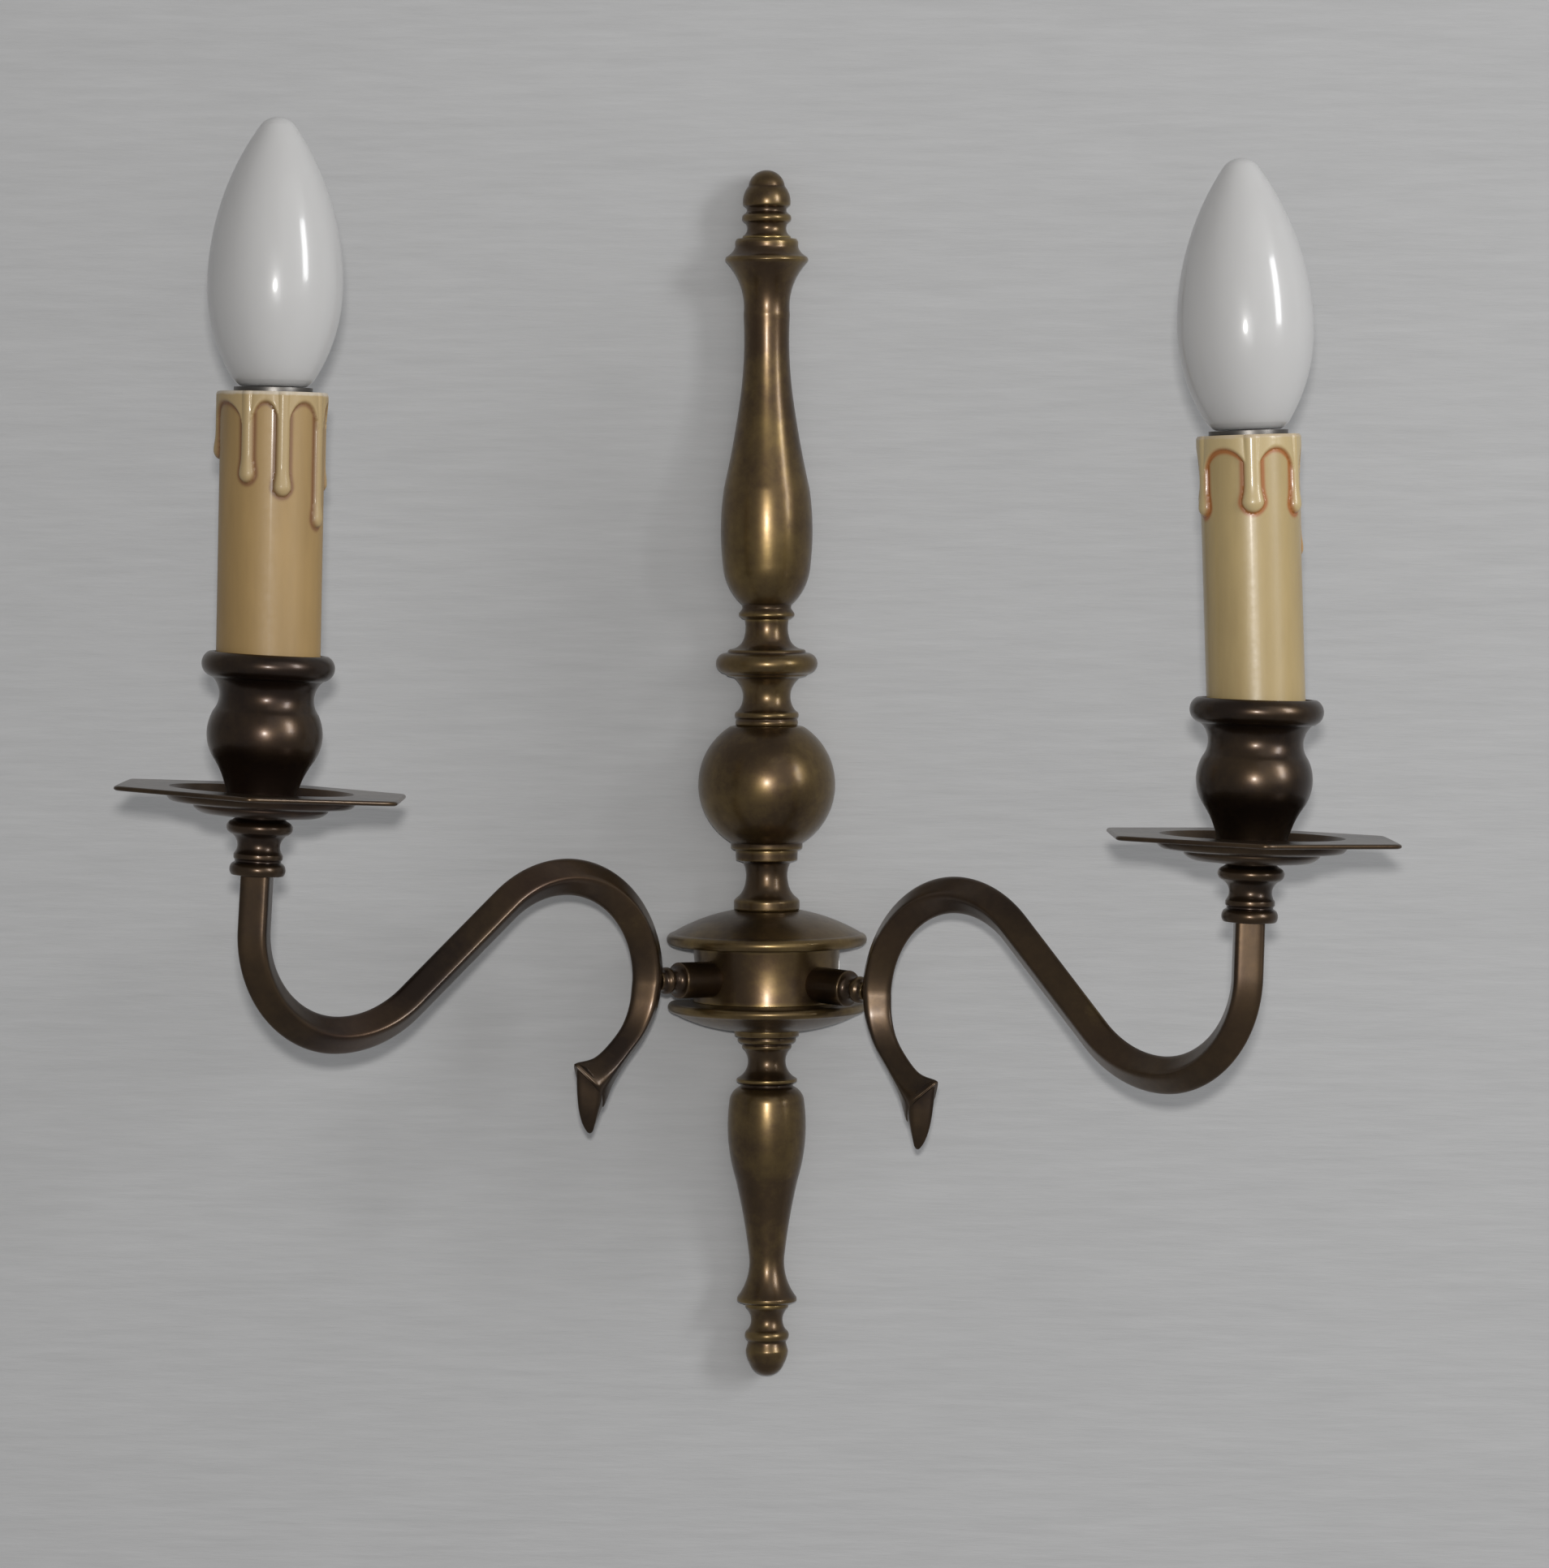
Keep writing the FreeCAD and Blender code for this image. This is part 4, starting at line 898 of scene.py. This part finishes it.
@dataclass(frozen=True)
class CandleStand:
    """What stands on the arm's end: collar, six-sided drip pan and cup."""

    COLUMNS = 240           # points round the pan
    SHARPNESS = 60          # how sharp the pan's corners are
    COLLAR_FOOT = 29.8      # heights over the hub level
    DISH_FOOT = 45.3
    CUP_FOOT = 46.6

    side: Side
    stance: Stance
    pan_flat: float = 36.4
    pan_round: float = 24.5
    pan_turn: float = 3.0

    def hexagon(self, angle: Array) -> Array:
        """Returns the pan's reach at each angle from the wall's normal.

        The reach to a flat side whose normal is at angle b is flat / cos(a - b); the six sides
        are blended by a high power mean, which rounds the corners.
        """
        normals = np.radians(np.arange(6) * 60.0 + 90.0)
        facing = np.maximum(np.cos(angle[:, None] - normals), 1e-6)
        return self.pan_flat / (facing ** self.SHARPNESS).sum(1) ** (1 / self.SHARPNESS)

    def pan(self) -> tuple[Array, Fields]:
        """Makes the drip pan: round stepped dish inside, spreading to a six-sided rim.

        Outside the round part, a radius goes the same share of its way out to the hexagon.

        Returns:
            The grid and its field, wear.
        """
        rim = self.pan_flat
        marks = ((0.0, 0.0), (13.0, 0.0), (17.5, 1.7, 0.55), (17.5, 2.3), (22.4, 2.9),
                 (24.5, 4.4, 0.5), (24.5, 5.5), (rim - 0.4, 5.5), (rim, 5.85), (rim, 6.4),
                 (rim - 0.4, 6.75), (23.9, 6.75), (22.2, 4.3), (16.4, 3.6), (12.6, 1.3),
                 (0.0, 1.3))
        line, wear = outline(marks, edge=0.1, gap=1.2, turn=0.2)
        angle = np.linspace(0, 2 * np.pi, self.COLUMNS, endpoint=False)
        reach = self.hexagon(angle)[None]
        radius = line[:, 0, None]
        beyond = np.maximum(radius - self.pan_round, 0) / (rim - self.pan_round)
        spread = np.minimum(radius, self.pan_round) + beyond * (reach - self.pan_round)
        grid = np.stack([spread * np.sin(angle), spread * np.cos(angle),
                         line[:, 1, None] + 0 * spread], -1)
        return grid, {"wear": np.repeat(wear[:, None], self.COLUMNS, 1)}

    def build(self, finishes: Finishes) -> None:
        """Makes the collar, pan and cup."""
        name = self.side.value
        place = self.stance.upright(self.side, 0.0)
        collar = Turning(((0.0, 0.0), (6.7, 0.0), (6.7, 3.1, 0.6), (6.0, 3.5), (6.0, 4.0),
                          (6.4, 4.4), (6.4, 5.5), (7.5, 10.8, -1.35), (7.3, 14.2, 1.25),
                          (6.6, 14.7), (6.6, 15.5), (0.0, 15.5)), steps=80)
        cup = Turning(((0.0, 0.0), (8.6, 0.0), (9.15, 0.6), (9.15, 4.6), (13.1, 13.4, -0.5),
                       (13.6, 25.6, 1.65), (14.4, 34.2, -1.7), (15.4, 40.8, 2.35), (14.5, 40.8),
                       (14.5, 35.8), (10.8, 35.8), (10.8, 28.6), (0.0, 28.6)), steps=112)
        for label, turned, foot, node in (("collar", collar, self.COLLAR_FOOT, "arm_collar"),
                                          ("cup", cup, self.CUP_FOOT, "candle_cup")):
            piece = turned.piece(f"{name}_{label}_turned", place @ shift(0, 0, foot))
            stand_for(dress(piece, finishes.dark), "fixture", "dark_bronze", f"{name}_{node}")
        square = turn_z(self.pan_turn - self.stance.heading(self.side))
        grid, fields = self.pan()
        pan = make_piece(name + "_pan_sheet", grid,
                         place @ shift(0, 0, self.DISH_FOOT) @ square, fields)
        stand_for(dress(pan, finishes.pan), "fixture", "bronzed_brass", name + "_drip_pan")


# ---------------------------------------------------------------- candles

@dataclass(frozen=True)
class Drip:
    """One run of wax.

    Attributes:
        angle: its place round the sleeve, in degrees from the front.
        half: half its width.
        end: height of its lower end over the sleeve's foot.
        thick: how far it stands out.
    """

    angle: float
    half: float
    end: float
    thick: float


LEFT_DRIPS = (Drip(-91, 2.0, 54.0, 1.5), Drip(-20.5, 1.95, 48.0, 1.5), Drip(19, 2.15, 44.6, 1.6),
              Drip(67, 1.9, 36.8, 1.3), Drip(118, 1.8, 46.0, 1.4), Drip(160, 2.0, 38.0, 1.5),
              Drip(-142, 1.8, 43.0, 1.4))
RIGHT_DRIPS = (Drip(-66, 2.0, 51.0, 1.5), Drip(1.3, 2.7, 51.6, 1.6), Drip(60, 2.0, 51.2, 1.5),
               Drip(112, 1.8, 40.0, 1.4), Drip(150, 1.7, 52.0, 1.4), Drip(-160, 2.0, 42.0, 1.5),
               Drip(-116, 1.8, 53.0, 1.4))


@dataclass(frozen=True)
class Candle:
    """Candle sleeve with its drips, and the bulb with its cap and foot.

    Attributes:
        side: which arm it stands on.
        stance: where that is.
        radius: the sleeve's nominal radius.
        drips: the wax runs round it.
        arch: height of the wax's lower edge in the middle between two drips.
    """

    COLUMNS = 360           # points round the sleeve
    ROWS = 260              # points up its outside
    INNER_ROWS = 12         # points up its inside
    FOOT = 83.4             # the sleeve's foot, over the hub level
    HEIGHT = 71.6           # the sleeve's height
    BARE = 0.45             # how far the bare card's outside lies within the radius
    BORE = 1.4              # how far its inside lies within the radius
    SKIN = 0.75             # thickness of the wax between the drips
    CROWN = 1.1             # height in which the skin's lower edge is rounded
    ARCH_DROP = 7.0         # how far that edge comes down beside a drip
    FLANK = 1.3             # half the gap that the arches leave for a drip
    NARROW = 5.0            # half gaps below this get a flatter arch, down to half as deep
    SWELL_UP = 2.4          # a drip is thickest this far over its end
    SWELL_REACH = 2.6       # and swells over about this height
    WIDTH = (0.86, 0.26)    # its width as a share: away from the swell, and what that adds
    THICKNESS = (0.85, 0.3)     # its thickness likewise
    LIP = 0.35              # how much thicker the skin is beside a drip, as a share
    COVER = 0.35            # wax this thick hides the card; the rim is rounded as much
    RIM_ROUND = 0.6         # height in which the rim is rounded
    RIM_WORN = 1.3          # the worn rim starts this far under the top
    RIM_BLEND = 0.8         # and comes up in this height
    SEAM_OUT = 0.35         # the glaze is deepest this far outside the wax
    SEAM_REACH = 0.7        # and about this wide
    FAR_OFF = 9.0           # stands for a place that no drip is near
    GLASS_FOOT = 156.4      # feet of the bulb's pieces, over the hub level
    CAP_FOOT = 129.2
    BUTTON_FOOT = 126.7

    side: Side
    stance: Stance
    radius: float
    drips: Sequence[Drip]
    arch: float

    def sleeve(self) -> tuple[Array, Fields]:
        """Makes the sleeve.

        The outside is a cylinder raised by the highest of its drips. A drip is a round-backed
        ridge from the top down to its end, where it closes in a half ball and swells a little;
        a skin of wax joins them at the top, its lower edge arched between neighbours. The
        inside is a plain cylinder.

        Returns:
            The grid and its fields: drip, seam round the drips, and rim.
        """
        up = np.linspace(0, self.HEIGHT, self.ROWS)[:, None]
        angle = np.linspace(-np.pi, np.pi, self.COLUMNS, endpoint=False)[None]
        raised, nearest = self.wax(up, angle)
        outer = self.radius - self.BARE + raised
        outer -= self.COVER * np.clip((up - self.HEIGHT + self.RIM_ROUND) / self.RIM_ROUND, 0, 1)
        inner_up = np.linspace(self.HEIGHT, 0, self.INNER_ROWS)[:, None]
        inner = np.full((self.INNER_ROWS, self.COLUMNS), self.radius - self.BORE)
        radius = np.concatenate([outer, inner, outer[:1]])
        level = np.concatenate([up, inner_up, up[:1]])
        grid = np.stack([radius * np.sin(angle), -radius * np.cos(angle), level + 0 * radius], -1)
        fields = {}
        for key, values, inside in (
                ("drip", np.clip(raised / self.COVER, 0, 1), 0.0),
                ("seam", np.exp(-((nearest - self.SEAM_OUT) / self.SEAM_REACH) ** 2), 0.0),
                ("rim", np.clip((up - self.HEIGHT + self.RIM_WORN) / self.RIM_BLEND, 0, 1)
                 + 0 * angle, 0.4)):
            fields[key] = np.concatenate([values, np.full_like(inner, inside), values[:1]])
        return grid, fields

    def wax(self, up: Array, angle: Array) -> tuple[Array, Array]:
        """Lays the wax on the sleeve.

        Args:
            up: heights of the rows, as a column.
            angle: angles of the columns, as a row.

        Returns:
            How far the wax stands out at each point, and how far off its edge is there, which is
            negative inside it.
        """
        raised = np.zeros((len(up), angle.size))
        nearest = np.full_like(raised, self.FAR_OFF)
        for drip in self.drips:
            gap = (angle - math.radians(drip.angle) + np.pi) % (2 * np.pi) - np.pi
            swell = np.exp(-((up - drip.end - self.SWELL_UP) / self.SWELL_REACH) ** 2)
            half = drip.half * (self.WIDTH[0] + self.WIDTH[1] * swell)
            low = np.minimum(up - (drip.end + half), 0.0)
            far = np.hypot(gap * self.radius, low) / half
            dome = np.sqrt(np.clip(1 - far ** 2, 0, 1))
            thick = drip.thick * (self.THICKNESS[0] + self.THICKNESS[1] * swell)
            raised = np.maximum(raised, thick * dome)
            nearest = np.minimum(nearest, (far - 1) * half)
        arch, flank = self.arches(angle)
        depth = up - arch
        crown = np.clip(depth / self.CROWN, 0, 1)
        crest = self.SKIN * (1 + self.LIP * flank * np.clip(1 - depth / self.ARCH_DROP, 0, 1))
        raised = np.maximum(raised, crest * np.sqrt(crown * (2 - crown)))
        return raised, np.minimum(nearest, -depth)

    def arches(self, angle: Array) -> tuple[Array, Array]:
        """Returns the lower edge of the wax between the drips, and how near each flank is.

        Between two drips the edge is half an ellipse: at share u of the way from the middle of the
        gap to a flank it stands ARCH_DROP times (1 - root of (1 - u squared)) below the arch's
        top, or less where the gap is narrow.
        """
        centres = np.sort(np.radians([drip.angle for drip in self.drips]))
        after = np.searchsorted(centres, angle[0])
        right = np.take(np.append(centres, centres[0] + 2 * np.pi), after)
        left = np.where(after > 0, centres[after - 1], centres[-1] - 2 * np.pi)
        half = (right - left) * self.radius / 2
        off = np.abs(angle[0] - (left + right) / 2) * self.radius
        share = np.clip(off / np.maximum(half - self.FLANK, 0.5), 0, 1)
        drop = self.ARCH_DROP * (1 - np.sqrt(1 - share ** 2)) * np.clip(half / self.NARROW, 0.5, 1)
        return (self.arch - drop)[None], share[None]

    def glass(self) -> Turning:
        """Returns the bulb's outline.

        The lower and upper arcs share their tangent at the widest place, 17.5 out and 26 up,
        with their centres level with it. The tip is the circle on the axis that touches the upper
        arc from inside and reaches the full height.
        """
        widest, belly, lower, upper, height, neck = 17.5, 26.0, 45.5, 72.0, 69.5, 1.6
        rise, back = height - belly, upper - widest
        tip = (upper ** 2 - back ** 2 - rise ** 2) / (2 * (upper - rise))
        lean = math.atan2(rise - tip, back)
        low = math.asin((belly - neck) / lower)
        down = np.linspace(-low, 0, 40)
        along = np.linspace(0, lean, 90)
        over = np.linspace(lean, math.pi / 2, 40)
        arcs = [(widest - lower + lower * np.cos(down), belly + lower * np.sin(down)),
                (widest - upper + upper * np.cos(along), belly + upper * np.sin(along)),
                (tip * np.cos(over), height - tip + tip * np.sin(over))]
        marks = [(0.0, 0.0), (8.4, 0.0), (9.4, 0.6)]
        marks += [(float(r), float(z)) for arc in arcs for r, z in zip(*arc)]
        return Turning(tuple(marks), edge=0.25, steps=112, gap=1.0, turn=0.1)

    def cap(self) -> Turning:
        """Returns the cap's outline: rings for the screw thread, then the flared collar."""
        rings = [(6.6, 3.2 + 2.8 * k, 0.3) for k in range(6)]
        return Turning(((0.0, 4.9), (5.9, 4.9), (5.9, 0.0), (6.6, 0.0), *rings, (6.6, 21.6),
                        (10.0, 24.6), (10.2, 25.2), (10.2, 27.0), (0.0, 27.2)), edge=0.08)

    def foot_button(self) -> Turning:
        """Returns the outline of the cap's insulator and its contact button."""
        return Turning(((0.0, 0.0), (2.0, 0.0), (2.4, 0.4), (2.4, 0.9), (4.2, 1.2), (5.8, 2.6),
                        (5.8, 4.4), (0.0, 4.4)), edge=0.08, steps=48)

    def build(self, finishes: Finishes) -> None:
        """Makes the sleeve, glass, cap and foot."""
        name = self.side.value
        place = self.stance.candle(self.side) @ turn_z(-self.stance.heading(self.side))
        grid, fields = self.sleeve()
        sleeve = make_piece(name + "_sleeve_card", grid, place @ shift(0, 0, self.FOOT), fields)
        stand_for(dress(sleeve, finishes.card[self.side]), name + "_sleeve", "sleeve_" + name,
                  name + "_candle_sleeve")
        for label, turned, foot, finish, slot, body in (
                ("bulb_glass", self.glass(), self.GLASS_FOOT, finishes.opal, "opal_glass", "bulb"),
                ("bulb_cap", self.cap(), self.CAP_FOOT, finishes.cap, "bulb_cap", "bulb"),
                ("bulb_foot", self.foot_button(), self.BUTTON_FOOT, finishes.black, "insulator",
                 "bulb_lift")):
            piece = turned.piece(f"{name}_{label}_turned", place @ shift(0, 0, foot))
            stand_for(dress(piece, finish), f"{name}_{body}", slot, f"{name}_{label}")


# ---------------------------------------------------------------- inner pieces

@dataclass(frozen=True)
class InnerWorks:
    """The frame's own nodes that stay as they are: plate, rod, nuts, holders and wires."""

    nodes: dict[str, bpy.types.Object]

    def build(self, finishes: Finishes) -> None:
        """Gives every node that still shows its material."""
        by_word = (("wire", finishes.cable), ("contact", finishes.contact),
                   ("holder", finishes.holder), ("block", finishes.holder))
        for name, node in self.nodes.items():
            if node.hide_render:
                continue
            found = next((m for word, m in by_word if word in name), finishes.steel)
            dress(node, found)
            LOG.info("%s keeps its own shape", name)


# ---------------------------------------------------------------- the set

def looking(toward: Array) -> tuple[float, float, float]:
    """Returns the turn that points a camera or lamp along toward, upright."""
    flat = math.hypot(toward[0], toward[1])
    return (math.atan2(flat, -toward[2]), 0.0, math.atan2(-toward[0], toward[1]))


@dataclass(frozen=True)
class Lamp:
    """A rectangular lamp that faces the hub; place and size are in metres."""

    AIM = (0, 0, 0.06)

    name: str
    place: tuple[float, float, float]
    watts: float
    size: tuple[float, float]
    colour: Colour

    def hang(self) -> None:
        """Puts the lamp in the scene."""
        light = bpy.data.lights.new(self.name, "AREA")
        light.shape = "RECTANGLE"
        light.size, light.size_y = self.size
        light.energy = self.watts
        light.color = self.colour
        lamp = bpy.data.objects.new(self.name, light)
        lamp.location = self.place
        lamp.rotation_euler = looking(np.array(self.AIM) - np.array(self.place))
        bpy.context.scene.collection.objects.link(lamp)


LAMPS = (Lamp("flash", (0.08, -1.70, 0.215), 11.2, (0.045, 0.035), (1.0, 0.985, 0.96)),
         Lamp("window", (1.75, -1.18, 0.74), 19.5, (0.36, 0.90), (0.97, 0.985, 1.0)),
         Lamp("pane", (0.38, -2.5, 0.14), 2.5, (0.45, 0.7), (0.96, 0.98, 1.0)),
         Lamp("room", (1.3, -1.6, 0.9), 7.5, (2.0, 2.2), (1.0, 0.99, 0.97)))


@dataclass(frozen=True)
class Studio:
    """Wall, world and camera; lengths in metres, and the lens in millimetres."""

    WALL_GAP = 0.0004       # between the part and the wall
    WALL_WIDE = 4           # half the wall's width
    WALL_HIGH = 3           # half its height
    ROOM = (0.98, 0.985, 1.0)
    ROOM_STRENGTH = 0.27

    eye: tuple[float, float, float] = (0.0779, -1.6544, 0.1433)
    aim: tuple[float, float, float] = (0.00215, -0.005, 0.0539)
    focal: float = 138.9

    def wall(self) -> None:
        """Puts a wide wall just behind the part."""
        mesh = bpy.data.meshes.new("wall")
        x, y, z = self.WALL_WIDE, self.WALL_GAP, self.WALL_HIGH
        mesh.from_pydata([(-x, y, -z), (x, y, -z), (x, y, z), (-x, y, z)], [], [(0, 1, 2, 3)])
        wall = bpy.data.objects.new("wall", mesh)
        bpy.context.scene.collection.objects.link(wall)
        dress(wall, WallPaint().make())

    def camera(self) -> None:
        """Sets up the photograph's viewpoint."""
        data = bpy.data.cameras.new("camera")
        data.sensor_fit = "HORIZONTAL"
        data.sensor_width = 36.0
        data.lens = self.focal
        data.clip_start = 0.05
        camera = bpy.data.objects.new("camera", data)
        camera.location = self.eye
        camera.rotation_euler = looking(np.array(self.aim) - np.array(self.eye))
        bpy.context.scene.collection.objects.link(camera)
        bpy.context.scene.camera = camera

    def world(self) -> None:
        """Fills the room with dim grey."""
        world = bpy.data.worlds.new("room")
        bpy.context.scene.world = world
        world.use_nodes = True
        ground = world.node_tree.nodes["Background"]
        ground.inputs["Color"].default_value = (*self.ROOM, 1.0)
        ground.inputs["Strength"].default_value = self.ROOM_STRENGTH

    def build(self) -> None:
        """Sets everything up."""
        self.wall()
        self.world()
        for lamp in LAMPS:
            lamp.hang()
        self.camera()
        bpy.context.scene.view_settings.view_transform = "Standard"


def main() -> None:
    """Builds the set, the part's pieces and their finishes in order."""
    logging.basicConfig(level=logging.INFO, format="%(name)s: %(message)s")
    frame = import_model()
    stance = Stance()
    finishes = Finishes()
    Studio().build()
    Column(stance).build(finishes)
    for side in Side:
        ScrollArm(side, stance).build(finishes)
        CandleStand(side, stance).build(finishes)
    Candle(Side.LEFT, stance, 13.95, LEFT_DRIPS, 68.8).build(finishes)
    Candle(Side.RIGHT, stance, 13.15, RIGHT_DRIPS, 67.9).build(finishes)
    InnerWorks(frame["nodes"]).build(finishes)


if __name__ == "__main__":
    main()
